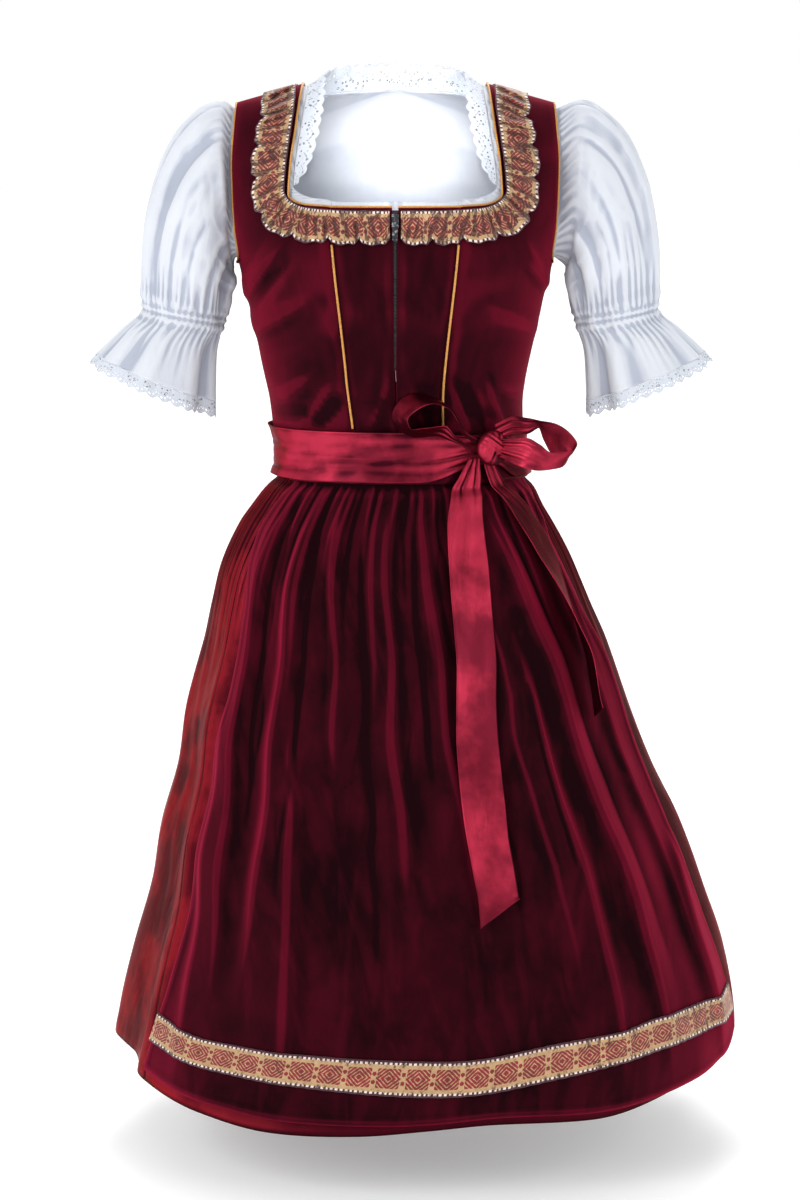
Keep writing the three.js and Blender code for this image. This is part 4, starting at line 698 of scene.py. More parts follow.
def eyelet(across, radius, spread=0.0):
    """1 inside a round hole behind each point of the edge, or a pair of them spread apart."""
    u = sums(tree, "SUBTRACT", from_point, spread)
    v = sums(tree, "SUBTRACT", split[1], across)
    square = sums(tree, "ADD", sums(tree, "MULTIPLY", u, u), sums(tree, "MULTIPLY", v, v))
    return between(tree, sums(tree, "SQRT", square), radius, radius - 0.0003)


spots = add_node(tree, "ShaderNodeTexVoronoi", Vector=cloth_uv, Scale=250.0, Randomness=0.75)
from_spot = spots.outputs["Distance"]
past_seam = between(tree, split[1], 0.0015, 0.0025)
in_band = sums(tree, "MULTIPLY", past_seam, between(tree, split[1], 0.0125, 0.0115))
small_hole = sums(tree, "MULTIPLY", between(tree, from_spot, 0.22, 0.18), in_band)
painted_shade_rim = sums(tree, "MULTIPLY", between(tree, from_spot, 0.38, 0.26), in_band)
holes = sums(tree, "MAXIMUM", eyelet(0.0165, 0.0017), eyelet(0.0150, 0.0011, 0.0042))
holes = sums(tree, "MAXIMUM", holes, eyelet(0.0128, 0.0010, 0.0068))
holes = sums(tree, "MAXIMUM", holes, small_hole)
thread = noise_over(tree, cloth_uv, 2600.0, Detail=3.0)
tone = between(tree, thread, 0.35, 0.65)
colour = blend_colours(tree, tone, (0.48, 0.53, 0.62, 1), (0.76, 0.79, 0.84, 1))
# Painted shade in a ring round each small hole.
colour = blend_colours(tree, sums(tree, "MULTIPLY", painted_shade_rim, 0.92), colour, (0.05, 0.06, 0.09, 1))
set_shader(
    tree, shader, Base_Color=colour, Roughness=0.8, Specular_IOR_Level=0.2, Sheen_Weight=0.1,
    Alpha=sums(tree, "SUBTRACT", 1.0, holes), Normal=bump(tree, thread, 0.6, 0.0006),
)

# %% [markdown]
# ## Jacquard braid
# A woven braid in burgundy on cream and gold. Its repeat is a star of nested chevrons, then a
# column of dots, between plain strips and dotted edges in white and purple. Sums on the metres
# along and across it draw each figure, and rounding those metres to whole threads gives the
# stepped woven edge. The troughs of its folds are darkened with painted shade, and where the
# braid is ruched, thin pinches wander over it, each darkened with painted shade.

# %% Weave the braid's figures
jacquard, tree, shader, cloth_uv, place = new_finish("jacquard braid")
THREAD = 0.00075
REPEAT = 0.0306
split = add_node(tree, "ShaderNodeSeparateXYZ", Vector=cloth_uv).outputs
u_thread = sums(tree, "SNAP", split[0], THREAD)
v_thread = sums(tree, "ABSOLUTE", sums(tree, "SNAP", sums(tree, "ADD", split[1], THREAD / 2), THREAD))


def in_repeat(length, offset):
    """Distance from the middle of a repeat of this length."""
    share = sums(tree, "FRACT", sums(tree, "ADD", sums(tree, "DIVIDE", u_thread, length), offset))
    return sums(tree, "MULTIPLY", sums(tree, "ABSOLUTE", sums(tree, "SUBTRACT", share, 0.5)), length)


def below(value, limit):
    return sums(tree, "LESS_THAN", value, limit)


def both(a, b):
    return sums(tree, "MULTIPLY", a, b)


def either(a, b):
    return sums(tree, "MAXIMUM", a, b)


u_star, u_dots = in_repeat(REPEAT, 0.0), in_repeat(REPEAT, 0.5)
steps = sums(tree, "ADD", sums(tree, "DIVIDE", u_star, 0.0110), sums(tree, "DIVIDE", v_thread, 0.0096))
chevrons = below(sums(tree, "FRACT", sums(tree, "MULTIPLY", steps, 2.3)), 0.74)
star = both(both(chevrons, below(u_star, 0.0122)), below(v_thread, 0.0101))
dot_v = sums(tree, "ABSOLUTE", sums(tree, "SUBTRACT", v_thread, 0.0044))
spot = sums(tree, "ADD", both(u_dots, u_dots), both(dot_v, dot_v))
spots = below(spot, 0.0000050)
side_u = sums(tree, "SUBTRACT", u_dots, 0.0040)
side_spot = below(sums(tree, "ADD", both(side_u, side_u), both(v_thread, v_thread)), 0.0000022)
figure = either(either(star, spots), side_spot)
rim = sums(tree, "GREATER_THAN", v_thread, 0.0136)
in_rim_row = below(sums(tree, "ABSOLUTE", sums(tree, "SUBTRACT", v_thread, 0.0149)), 0.0013)
rim_dot = both(below(in_repeat(0.0051, 0.5), 0.0014), in_rim_row)
tone = use_group(tree, cloud, Place=cloth_uv, Size=0.012, Contrast=0.3)["Amount"]
ground = blend_colours(tree, tone, (0.37, 0.22, 0.10, 1), (0.56, 0.37, 0.19, 1))
reds = blend_colours(tree, tone, (0.12, 0.004, 0.010, 1), (0.29, 0.009, 0.020, 1))
colour = blend_colours(tree, figure, ground, reds)
colour = blend_colours(tree, rim, colour, (0.055, 0.012, 0.024, 1))
colour = blend_colours(tree, rim_dot, colour, (0.80, 0.68, 0.60, 1))
weave = use_group(tree, plain_weave, Cloth_Map=cloth_uv, Threads_per_Metre=1176.0, Slubs=0.2)
colour = blend_colours(tree, sums(tree, "MULTIPLY", weave["Warp"], 0.10), colour, (0.16, 0.05, 0.02, 1))
fold = use_group(tree, folds, Full_at=0.8)
# Painted shade in the troughs of folds.
colour = blend_colours(tree, sums(tree, "MULTIPLY", fold["Trough"], 0.75), colour, (0.05, 0.007, 0.008, 1))
ruched = between(tree, sums(tree, "ADD", fold["Crest"], fold["Trough"]), 0.03, 0.25)
wander = noise_over(tree, cloth_uv, 105.0, Detail=2.0)
off_line = sums(tree, "ABSOLUTE", sums(tree, "SUBTRACT", wander, 0.5))
pinch = both(between(tree, off_line, 0.040, 0.008), ruched)
# Painted shade along the pinches; the relief below dents them as well.
colour = blend_colours(tree, sums(tree, "MULTIPLY", pinch, 0.8), colour, (0.045, 0.010, 0.010, 1))
relief = sums(tree, "ADD", sums(tree, "MULTIPLY", weave["Height"], 0.5), sums(tree, "MULTIPLY", figure, 0.5))
relief = sums(tree, "SUBTRACT", relief, pinch)
set_shader(
    tree, shader, Base_Color=colour, Roughness=between(tree, figure, 0.0, 1.0, 0.62, 0.5),
    Specular_IOR_Level=0.35, Sheen_Weight=0.15, Normal=bump(tree, relief, 0.5, 0.0005),
)

# %% [markdown]
# ## Gold cord, zip tape and zip metal
# The cord's gold thread is a satin finish with tiny filaments. The zip has a dark woven tape, a
# black nylon coil and a lacquered slider with painted highlights in spots.

# %% Mix the small finishes
gold, tree, shader, cloth_uv, place = new_finish("gold cord")
filament = noise_over(tree, place, 1400.0, Detail=3.0)
tone = between(tree, filament, 0.3, 0.7)
colour = blend_colours(tree, tone, (0.36, 0.13, 0.02, 1), (0.75, 0.38, 0.09, 1))
set_shader(
    tree, shader, Base_Color=colour, Metallic=0.15, Roughness=between(tree, filament, 0.3, 0.7, 0.55, 0.38),
    Specular_IOR_Level=0.5, Normal=bump(tree, filament, 0.35, 0.0003),
)

zip_tape, tree, shader, cloth_uv, place = new_finish("zip tape")
weave = use_group(tree, plain_weave, Cloth_Map=cloth_uv, Threads_per_Metre=1300.0, Slubs=0.2)
colour = blend_colours(tree, weave["Warp"], (0.012, 0.008, 0.010, 1), (0.030, 0.016, 0.020, 1))
set_shader(tree, shader, Base_Color=colour, Roughness=0.8, Normal=bump(tree, weave["Height"], 0.5, 0.0006))

coil, tree, shader, cloth_uv, place = new_finish("zip coil")
rub = noise_over(tree, place, 500.0, Detail=3.0)
tone = between(tree, rub, 0.35, 0.7)
colour = blend_colours(tree, tone, (0.012, 0.012, 0.014, 1), (0.045, 0.042, 0.045, 1))
set_shader(
    tree, shader, Base_Color=colour, Roughness=between(tree, rub, 0.3, 0.7, 0.35, 0.5),
    Normal=bump(tree, rub, 0.2, 0.0003),
)

black_metal, tree, shader, cloth_uv, place = new_finish("black lacquered metal")
rub = noise_over(tree, place, 260.0, Detail=4.0)
# Painted highlights in random spots on the slider and pull.
painted_highlight_spots = between(tree, rub, 0.5, 0.7)
colour = blend_colours(tree, painted_highlight_spots, (0.02, 0.022, 0.026, 1), (0.30, 0.31, 0.34, 1))
set_shader(
    tree, shader, Base_Color=colour, Metallic=0.25, Roughness=between(tree, rub, 0.3, 0.7, 0.3, 0.45),
    Normal=bump(tree, rub, 0.15, 0.0003),
)
print("finishes:", [material.name for material in bpy.data.materials])

# %% [markdown]
# ## Bodice
# Six velvet panels: two at the centre front with the zip between them, two side fronts that run
# up into the straps, and two backs. Their seam lines are rows of points, from the waist up to
# the shoulder. Reading smooth curves through those rows gives cut edges without corners, and
# each face sinks a little along its seams, as sewn velvet does.

# %% Seam lines of the bodice
SIDE_FRONT_ROWS = table(
    "x z angle zOut ridge",
    (47, WAIST_SEAM_Z, 90, WAIST_SEAM_Z, 0),
    (48, -356, 90, -361, 0),
    (52, -300, 90, -310, 0),
    (57, -250, 90, -262, 0),
    (62, -205, 90, -222, 0),
    (65, -175, 90, -192, 0),
    (67, -150, 82, -189, 0),
    (68, -128, 75.5, -178, 0),
    (95, -126, 71.5, -155, 0),
    (113, -116, 69.5, -120, 0),
    (111, -84, 68.5, -84, 0),
    (106, -48, 66.2, -52, 0),
    (103, -22, 64.9, -33, 0),
    (STRAP_NECK_X, 0, 64.1, 0, 1),
)

BACK_ROWS = table(
    "x z angle zOut ridge",
    (0, WAIST_SEAM_Z, 90, WAIST_SEAM_Z, 0),
    (0, -356, 90, -361, 0),
    (0, -300, 90, -310, 0),
    (0, -250, 90, -262, 0),
    (0, -205, 90, -222, 0),
    (0, -172, 90, -192, 0),
    (0, -142, 82, -189, 0),
    (0, -112, 75.5, -178, 0),
    (0, -80, 71.5, -155, 0),
    (0, -48, 69.5, -120, 0),
    (42, -46, 68.5, -84, 0),
    (78, -36, 66.2, -52, 0),
    (95, -18, 64.9, -33, 0),
    (STRAP_NECK_X, 0, 64.1, 0, 1),
)

CENTRE_FRONT_COUNT = 8
BACK_NECK_ROW = 9
CENTRE_COLUMNS, CENTRE_PARTS = 18, 7
SIDE_COLUMNS, SIDE_PARTS = 62, 9
BACK_COLUMNS, BACK_PARTS = 44, 7
BODY_MIDDLE_X = -5
ZIP_EDGE = np.array([0, 0, 0.9, 1.5, 1.9, 2.3, 2.8, 3.2])
TORSO_CORE = (0, 0, -200)
SIDES = {"right": -1, "left": 1}


def finer_rows(values, parts):
    """More rows on a smooth curve through the given ones."""
    count = len(values)
    return curve_through(np.arange(count), values, np.linspace(0, count - 1, (count - 1) * parts + 1))


def panel_grid(sign, rows, back, columns, parts, inset=0.0, deeper=None):
    """A panel from its seam at the middle to its side seam or armhole."""
    insets = inset + (np.zeros(len(rows["x"])) if deeper is None else deeper)
    t = np.linspace(0, 1, columns + 1)[None, :]
    start = torso_angle(rows["x"], rows["z"], back, insets)
    end = np.radians(180 - rows["angle"] if back else rows["angle"])
    angle = mix(start[:, None], end[:, None], t)
    z = mix(rows["z"][:, None], rows["zOut"][:, None], t)
    half = read(TORSO, "z", z[-1], "half") - insets[-1]
    z[-1] = ridge_height(half * across_share(angle[-1])) - insets[-1]
    angle, z = finer_rows(angle, parts), finer_rows(z, parts)
    inset_rows = finer_rows(insets, parts)[:, None]
    return facing_away(torso_point(sign * angle, z, inset_rows), TORSO_CORE)


def centre_front_grid(sign):
    rows = {key: values[:CENTRE_FRONT_COUNT] for key, values in SIDE_FRONT_ROWS.items()}
    t = np.linspace(0, 1, CENTRE_COLUMNS + 1)[None, :]
    start = torso_angle(ZIP_EDGE, rows["z"])
    end = torso_angle(rows["x"], rows["z"])
    angle = finer_rows(mix(start[:, None], end[:, None], t), CENTRE_PARTS)
    z = finer_rows(rows["z"], CENTRE_PARTS)[:, None] + 0 * angle
    return facing_away(torso_point(sign * angle, z), TORSO_CORE)


def edge_distance(grid):
    """How far each point is from the nearest free edge of its sheet."""
    down, right = lengths(grid, 0), lengths(grid, 1)
    across = np.minimum(right, right[:, -1:] - right)
    return np.minimum(np.minimum(down, down[-1:] - down), across)


def sewn(grid, depth, wide):
    """The sheet with its rim sunk a little, as beside a seam."""
    return moved_out(grid, -depth * np.exp(-((edge_distance(grid) / wide) ** 2)))


# %% Sew the bodice
BODICE_CREASES = table(
    "x z endX endZ rise wide",
    (-172, -232, -126, -168, 3.4, 6),
    (-163, -240, -120, -186, -2.6, 6),
    (-176, -205, -140, -158, -2.4, 7),
    (-160, -262, -98, -222, 2.0, 8),
    (-140, -372, -60, -362, 2.2, 6),
    (-136, -352, -84, -344, -1.6, 6),
    (-128, -330, -90, -300, 1.5, 8),
    (160, -216, 134, -166, 3.2, 6),
    (166, -232, 128, -190, -2.4, 6),
    (150, -262, 92, -232, 1.8, 8),
    (142, -366, 66, -352, 2.2, 6),
    (134, -345, 90, -322, -1.6, 7),
    (-30, -352, -8, -300, 1.4, 7),
    (22, -350, 8, -306, 1.4, 7),
    (70, -362, 56, -316, 2.6, 5),
    (108, -358, 92, -312, 2.8, 5),
    (88, -360, 76, -322, -2.0, 5),
    (-104, -362, -76, -318, 2.2, 6),
    (-86, -362, -62, -330, -1.6, 6),
)

CREASE_SOFTNESS = 1.6


def bodice_relief(grid, seed, front):
    """Slow dents, drag lines across the waist, and in front the creases of the table."""
    x, z = grid[..., 0], grid[..., 2]
    relief = 0.8 * unevenness(x, z, 62, seed)
    relief = relief + 0.9 * ease(-300, -395, z) * unevenness(x * 0.25, z, 22, seed + 1)
    for crease in each_row(BODICE_CREASES) if front else ():
        start = np.array([crease["x"], crease["z"]])
        way = np.array([crease["endX"], crease["endZ"]]) - start
        length = np.linalg.norm(way)
        along = ((x - start[0]) * way[0] + (z - start[1]) * way[1]) / length
        off = ((x - start[0]) * way[1] - (z - start[1]) * way[0]) / length
        held = ease(-14, 8, along) * ease(length + 14, length * 0.5, along)
        relief = relief + crease["rise"] * held * crest(off / (CREASE_SOFTNESS * crease["wide"]), 1)
    return relief


bodice_grids = {}
for side, sign in SIDES.items():
    bodice_grids[f"centre_front_{side}"] = centre_front_grid(sign)
    bodice_grids[f"side_front_{side}"] = panel_grid(sign, SIDE_FRONT_ROWS, False, SIDE_COLUMNS, SIDE_PARTS)
    bodice_grids[f"bodice_back_{side}"] = panel_grid(sign, BACK_ROWS, True, BACK_COLUMNS, BACK_PARTS)

for seed, (name, grid) in enumerate(bodice_grids.items()):
    fade = ease(0, 12, edge_distance(grid))
    shaped = moved_out(grid, bodice_relief(grid, 10 + seed, "back" not in name) * fade)
    shaped = drawn_in(sewn(shaped, 0.7, 3.5))
    panel = sheet(name + "_cloth", shaped, VELVET_WALL, bodice_velvet)
    dress_piece(panel, "velvet", name)
print("bodice panels:", {name: round(cloth_area(grid), 4) for name, grid in bodice_grids.items()}, "m2")

# %% [markdown]
# ## Skirt
# Shot taffeta in three breadths, gathered into the waist seam and hanging in long folds. Under
# the apron it lies flatter. The folds are deep in the hem and die out at the waist. Working
# them out from angle and height gives each breadth the same folds at the seams it shares.

# %% Skirt breadths
SKIRT_HEM = table(
    "angle z",
    (-180, -1062),
    (-130, -1055),
    (-77, -1052),
    (-59, -1060),
    (-42, -1074),
    (-26, -1082),
    (-10, -1078),
    (11, -1067),
    (28, -1069),
    (44, -1059),
    (65, -1041),
    (90, -1046),
    (130, -1058),
    (180, -1062),
)

APRON_EDGES = table(
    "z left right",
    (-412, -54, 77),
    (-457, -57, 66),
    (-490, -55, 62),
    (-547, -50, 63),
    (-625, -50, 67),
    (-716, -53, 67),
    (-816, -53, 66),
    (-889, -54, 69),
    (-970, -56, 72),
    (-1045, -59, 73),
)

SKIRT_CORE = (0, 0, -600)
SKIRT_SEAM_ANGLE = 60
SKIRT_RECESS = 7
BACK_PITCH = 5
CLOSER_UP = 1.15


def apron_edge(degrees, z):
    return np.where(degrees < 0, read(APRON_EDGES, "z", z, "left"), read(APRON_EDGES, "z", z, "right"))


def skirt_fold(degrees, z):
    """How far the skirt lies inside its outermost surface."""
    grown, long = ease(-404, -470, z), ease(-430, -900, z)
    turn = np.radians(degrees)
    beyond_apron = np.abs(degrees) - np.abs(apron_edge(degrees, z)) - 1
    under = 1 - ease(0, 7, beyond_apron)
    wander = 0.35 * np.sin(3 * turn + 0.8) + 0.2 * np.sin(7 * turn)
    deep = 0.5 - 0.5 * np.cos(12 * (turn - math.pi / 2) + wander)
    gather = 0.5 - 0.5 * np.cos(degrees * math.pi / BACK_PITCH)
    free = 20 * long * deep + 2.2 * grown * (1 - long) * gather
    covered = SKIRT_RECESS * grown + 2 * grown * np.sin(8 * turn)
    return -mix(free, covered, under), under


def skirt_grid(start, end, columns, rows):
    degrees = np.linspace(start, end, columns + 1)[None, :]
    hem = read(SKIRT_HEM, "angle", degrees, "z")
    share = np.linspace(0, 1, rows + 1)[:, None] ** CLOSER_UP
    z = mix(float(WAIST_SEAM_Z), hem, share)
    degrees = degrees + 0 * z
    fold, under = skirt_fold(degrees, z)
    spacing = degrees + 0.9 * np.sin(degrees / 7.3)
    fine = 1.1 * ease(-404, -440, z) * ease(-640, -480, z) * np.cos(spacing * 2 * math.pi / 3.3)
    crush = 1.5 * ease(-425, -520, z) * crumpled(degrees * 4.4, z * 0.15, 60, 31)
    crush = crush * ease(180, 171, np.abs(degrees))
    fold = fold + np.minimum(0, (1 - under) * (fine + crush - 1.6))
    return facing_away(skirt_point(degrees, z, fold), SKIRT_CORE)


skirt_grids = {
    "skirt_front": skirt_grid(-SKIRT_SEAM_ANGLE, SKIRT_SEAM_ANGLE, 150, 115),
    "skirt_back_right": skirt_grid(-180, -SKIRT_SEAM_ANGLE, 150, 108),
    "skirt_back_left": skirt_grid(SKIRT_SEAM_ANGLE, 180, 150, 108),
}
for name, grid in skirt_grids.items():
    breadth = sheet(name + "_cloth", drawn_in(sewn(grid, 0.5, 2.5)), TAFFETA_WALL, taffeta)
    dress_piece(breadth, "taffeta", name)
    print(name, "hem is", hem_length(grid), "mm round")

# %% [markdown]
# ## Apron
# A velvet apron gathered into its band, so wide that its long folds reach the hem. Each fold is
# a ridge or trough that is steep on one side. It starts below the band, wanders a little and dies
# out. The first table gives its angle at the top, on the way and at the foot, and the second
# gives the short pleats of the gathering, which fade within a hand's width.

# %% Folds, hem and braid line of the apron
APRON_FOLDS = table(
    "top mid foot rise wide lean from to",
    (-47, -45, -42, 7.0, 3.6, 1, -421, -1000),
    (-41, -40, -38, -3.5, 2.6, -1, -421, -800),
    (-32, -32, -36, 8.0, 3.8, -1, -421, -980),
    (-25, -26, -30, -3.5, 3.4, 1, -423, -900),
    (-20, -17, -16, 5.0, 3.2, -1, -430, -740),
    (-11, -9, -8, -3.5, 3.6, 1, -421, -1000),
    (-3, -3, -2, 6.5, 3.6, 1, -421, -880),
    (4, 3.5, 4, -3.0, 2.6, -1, -430, -760),
    (8, 8, 9, 4.0, 3.0, 1, -425, -900),
    (12, 15, 17, -3.0, 3.4, 1, -425, -960),
    (22, 25, 27, 4.0, 3.6, -1, -425, -1000),
    (33, 41, 46, 13, 4.4, -1, -425, -1075),
    (40, 47, 50, -3.5, 3.4, 1, -425, -1000),
    (52, 58, 60, 6, 4, -1, -430, -1060),
    (67, 67, 67, 7, 3.6, 1, -421, -900),
    (30, 32, 34, 6, 3.6, 1, -560, -1070),
    (64, 61, 66, 7, 4.0, -1, -780, -1070),
    (-28, -26, -24, 6, 4.4, 1, -640, -1075),
    (-50, -49, -48, 5, 3.4, -1, -640, -1075),
    (-10, -13, -15, 1.8, 5.0, -1, -760, -1060),
)

FINE_PLEATS = table(
    "top foot rise lean to",
    (-50, -48, 1.8, 1, -540),
    (-44.5, -43, 3.0, 1, -660),
    (-39, -38.5, 1.6, -1, -520),
    (-35, -35.5, -2.2, -1, -620),
    (-29, -30, 3.0, 1, -700),
    (-26, -27, -2.2, 1, -540),
    (-20.5, -22, 2.0, -1, -560),
    (-17.5, -18.5, 2.8, 1, -690),
    (-14, -15, -2.4, -1, -620),
    (-10, -9, 1.8, 1, -520),
    (-6.5, -7, 2.6, -1, -720),
    (-1, -2, 1.8, 1, -560),
    (2.5, 1, -2.6, 1, -600),
    (7, 6, 2.6, -1, -660),
    (12, 11, 1.6, 1, -530),
    (17, 18, 2.2, -1, -560),
    (37, 40, 2.4, 1, -600),
    (44, 48, 2.6, -1, -640),
    (52, 56, 3.0, 1, -700),
    (59, 61, 3.0, -1, -680),
    (66, 65, 2.6, 1, -620),
)
FINE_PLEAT_WIDE = 1.7
PLEAT_TOP_Z = -418

APRON_HEM = table(
    "angle z",
    (-60, -1044),
    (-42, -1057),
    (-20, -1065),
    (-5, -1064),
    (11, -1056),
    (30, -1059),
    (54, -1046),
    (67, -1035),
    (74, -1016),
)

BRAID_EDGES = table(
    "angle top bottom",
    (-60, -980, -1011),
    (-43, -992, -1022),
    (-15, -994, -1029),
    (0, -996, -1033),
    (21, -982, -1019),
    (33, -977, -1010),
    (46, -969, -1003),
    (74, -966, -996),
)

FOLD_MID_SHARE = 0.4
TAIL_CLEARANCE = 7.5
APRON_TOP_Z = -412
APRON_LIFT = 2.4
BRAID_LIFT = 2.0


def apron_lift(degrees, z):
    """How far the apron stands off the skirt's outermost surface."""
    lift = APRON_LIFT + 0.0 * z
    for k, fold in enumerate(each_row(APRON_FOLDS)):
        along = np.clip((z - fold["from"]) / (fold["to"] - fold["from"]), 0, 1)
        path = np.array([fold["top"], fold["mid"], fold["foot"]])
        angle = curve_through(np.array([0, FOLD_MID_SHARE, 1]), path, along)
        angle = angle + 0.5 * np.sin(z / 83 + 2 * k) * np.sin(z / 41 + k)
        strength = ease(0, 0.16, along) * ease(1, 0.65, along)
        lift = lift + fold["rise"] * strength * crest((degrees - angle) / fold["wide"], fold["lean"])
    for pleat in each_row(FINE_PLEATS):
        along = np.clip((z - PLEAT_TOP_Z) / (pleat["to"] - PLEAT_TOP_Z), 0, 1)
        angle = mix(pleat["top"], pleat["foot"], along)
        strength = ease(0, 0.06, along) * ease(1, 0.25, along)
        wide = FINE_PLEAT_WIDE * (0.8 + 0.9 * along)
        lift = lift + pleat["rise"] * strength * crest((degrees - angle) / wide, pleat["lean"])
    handled = 1.6 * ease(-440, -600, z) * unevenness(degrees * 3.6, z * 0.45, 70, 5)
    rubbed = 0.2 * ease(-430, -520, z) * crumpled(degrees * 4.6, z * 0.5, 75, 7)
    below_tail = ease(6, 11, degrees) * ease(36, 31, degrees) * ease(-880, -840, z)
    most = mix(40.0, TAIL_CLEARANCE, below_tail)
    return np.minimum(np.maximum(lift + handled + rubbed, 0.4), most)


def apron_point(share, z, lift=0.0):
    degrees = mix(read(APRON_EDGES, "z", z, "left"), read(APRON_EDGES, "z", z, "right"), share)
    return skirt_point(degrees, z, apron_lift(degrees, z) + lift)


def line_across_apron(measures, column, share):
    first, last = measures["angle"][0], measures["angle"][-1]
    return read(measures, "angle", mix(first, last, share), column)


# %% Hang the apron
APRON_COLUMNS, APRON_ROWS = 300, 156
across = np.linspace(0, 1, APRON_COLUMNS + 1)[None, :]
down = np.linspace(0, 1, APRON_ROWS + 1)[:, None] ** CLOSER_UP
apron_hem = line_across_apron(APRON_HEM, "z", across)
apron_grid = facing_away(apron_point(across, mix(float(APRON_TOP_Z), apron_hem, down)), SKIRT_CORE)
turned_up = 0.5 * ease(9, 6, edge_distance(apron_grid))
apron_cloth = sheet("apron_cloth", sewn(moved_out(apron_grid, turned_up), 0.6, 1.5), VELVET_WALL, velvet)
dress_piece(apron_cloth, "velvet", "apron")
print("apron hem is", hem_length(apron_grid), "mm round, area", round(cloth_area(apron_grid), 3))

# %% [markdown]
# ## Apron braid
# A woven braid with a small repeat is stitched flat above the hem. Its map runs in metres along
# and across it, so that the woven figures keep their size. It creases a little more than the
# velvet below it, where the folds press it together.

# %% Sew on the apron braid
braid_across = np.linspace(0, 1, 9)[:, None]
braid_top = line_across_apron(BRAID_EDGES, "top", across)
braid_foot = line_across_apron(BRAID_EDGES, "bottom", across)
crinkle = 1.1 * ease(0.52, 0.75, across) * (0.6 + 0.4 * np.sin(across * 31)) * np.sin(across * 210) ** 2
rim_ripple = 0.5 * np.sin(across * 330 + 2 * braid_across) * np.abs(2 * braid_across - 1) ** 2
braid_lift = BRAID_LIFT + (crinkle + rim_ripple) * (0.6 + 0.4 * np.cos(braid_across * 6))
braid_grid = apron_point(across, mix(braid_top, braid_foot, braid_across), np.maximum(braid_lift, 1.0))
braid_grid = facing_away(braid_grid, SKIRT_CORE)


def braid_map(grid, wide, along=1):
    """Metres along the braid, and across it from one woven edge to the other."""
    middle = lengths(grid, along).mean(axis=1 - along)
    across = np.linspace(0.5, -0.5, grid.shape[1 - along]) * wide
    u, v = (middle[None, :], across[:, None]) if along else (middle[:, None], across[None, :])
    return np.stack(np.broadcast_arrays(u, v), axis=-1) / 1000


BRAID_WIDE, BRAID_WALL = 36, 0.8
braid_uv = braid_map(braid_grid, BRAID_WIDE)
braid_cloth = sheet("apron_braid_cloth", braid_grid, BRAID_WALL, jacquard, cloth_uv=braid_uv)
dress_piece(braid_cloth, "jacquard", "apron_braid")

# %% [markdown]
# ## Waistband and tie
# The apron's band goes round the front only. Over it lies a broad taffeta ribbon, wound in
# shallow pleats that draw together at the knot. The pleats are lines at their own heights that
# meet as the ribbon narrows.

# %% Wrap the waist
WAIST_CORE = (0, 0, -390)
BAND_TOP_Z, BAND_FOOT_Z, BAND_LIFT = -368.0, -419.0, 1.2
band_angle = np.linspace(-58, 80, 91)[None, :]
band_share = np.linspace(0, 1, 13)[:, None]
band_grid = wrap_point(band_angle, mix(BAND_TOP_Z, BAND_FOOT_Z, band_share), BAND_LIFT)
band_grid = facing_away(band_grid, WAIST_CORE)
band_relief = 0.35 * unevenness(band_grid[..., 0], band_grid[..., 2] * 2, 30, 41)
band_grid = moved_out(band_grid, np.minimum(band_relief, 0.3))
band_cloth = sheet("apron_waistband_cloth", band_grid, TAFFETA_WALL, taffeta)
dress_piece(band_cloth, "taffeta", "apron_waistband")

TIE_KNOT_ANGLE, TIE_LIFT = 40, 3.3
TIE_PLEATS = table(
    "height deep wide wander",
    (0.10, 1.3, 0.04, 1.0),
    (0.30, 1.2, 0.05, -1.4),
    (0.48, 1.0, 0.04, 2.2),
    (0.66, 1.6, 0.05, -0.8),
    (0.86, 1.5, 0.04, 1.5),
)
tie_angle = np.linspace(0, 360, 241)[None, :-1]
tie_share = np.linspace(0, 1, 35)[:, None]
from_knot = np.minimum(tie_angle, 360 - tie_angle)
reach = np.where(tie_angle > 180, 34, 22)
narrowing = 1 - ease(0, 1, (from_knot - 4) / (reach - 4))
tie_z = mix(-364 - 6 * narrowing, -417 + 17 * narrowing, tie_share)
relief = 0.0 * tie_z
tie_turn, tie_round = np.radians(tie_angle), tie_angle * 2.4
for k, pleat in enumerate(each_row(TIE_PLEATS)):
    line = pleat["height"] + 0.03 * np.sin(tie_turn * pleat["wander"] + k)
    depth = pleat["deep"] * (0.55 + 0.45 * np.sin(tie_turn * (1.3 + 0.4 * k) + 2 * k) + narrowing)
    relief = relief - depth * crest((tie_share - line) / pleat["wide"], 1)
relief = relief + 0.7 * unevenness(tie_round, tie_z * 1.5, 40, 43)
relief = relief + 0.35 * crumpled(tie_round, tie_z * 2, 60, 44)
tie_grid = wrap_point(TIE_KNOT_ANGLE + tie_angle, tie_z, TIE_LIFT + 0.9 + np.maximum(relief, -1.7))
tie_grid = facing_away(tie_grid, WAIST_CORE, closed=True)
tie_cloth = sheet("tie_ribbon_cloth", tie_grid, TAFFETA_WALL, ribbon, closed=True)
dress_piece(tie_cloth, "ribbon", "tie_ribbon")
print("tie is", round(float(lengths(tie_grid, 1)[0, -1])), "mm round")

# %% [markdown]
# ## Bow
# The ribbon's knot, two loops and two hanging ends. A loop is drawn by its two edges as they
# leave the knot, swing round and come back. A hanging end is a line down the skirt with a width
# and a turn at each height. Creases run out from the knot and fade, and the cut ends slant.

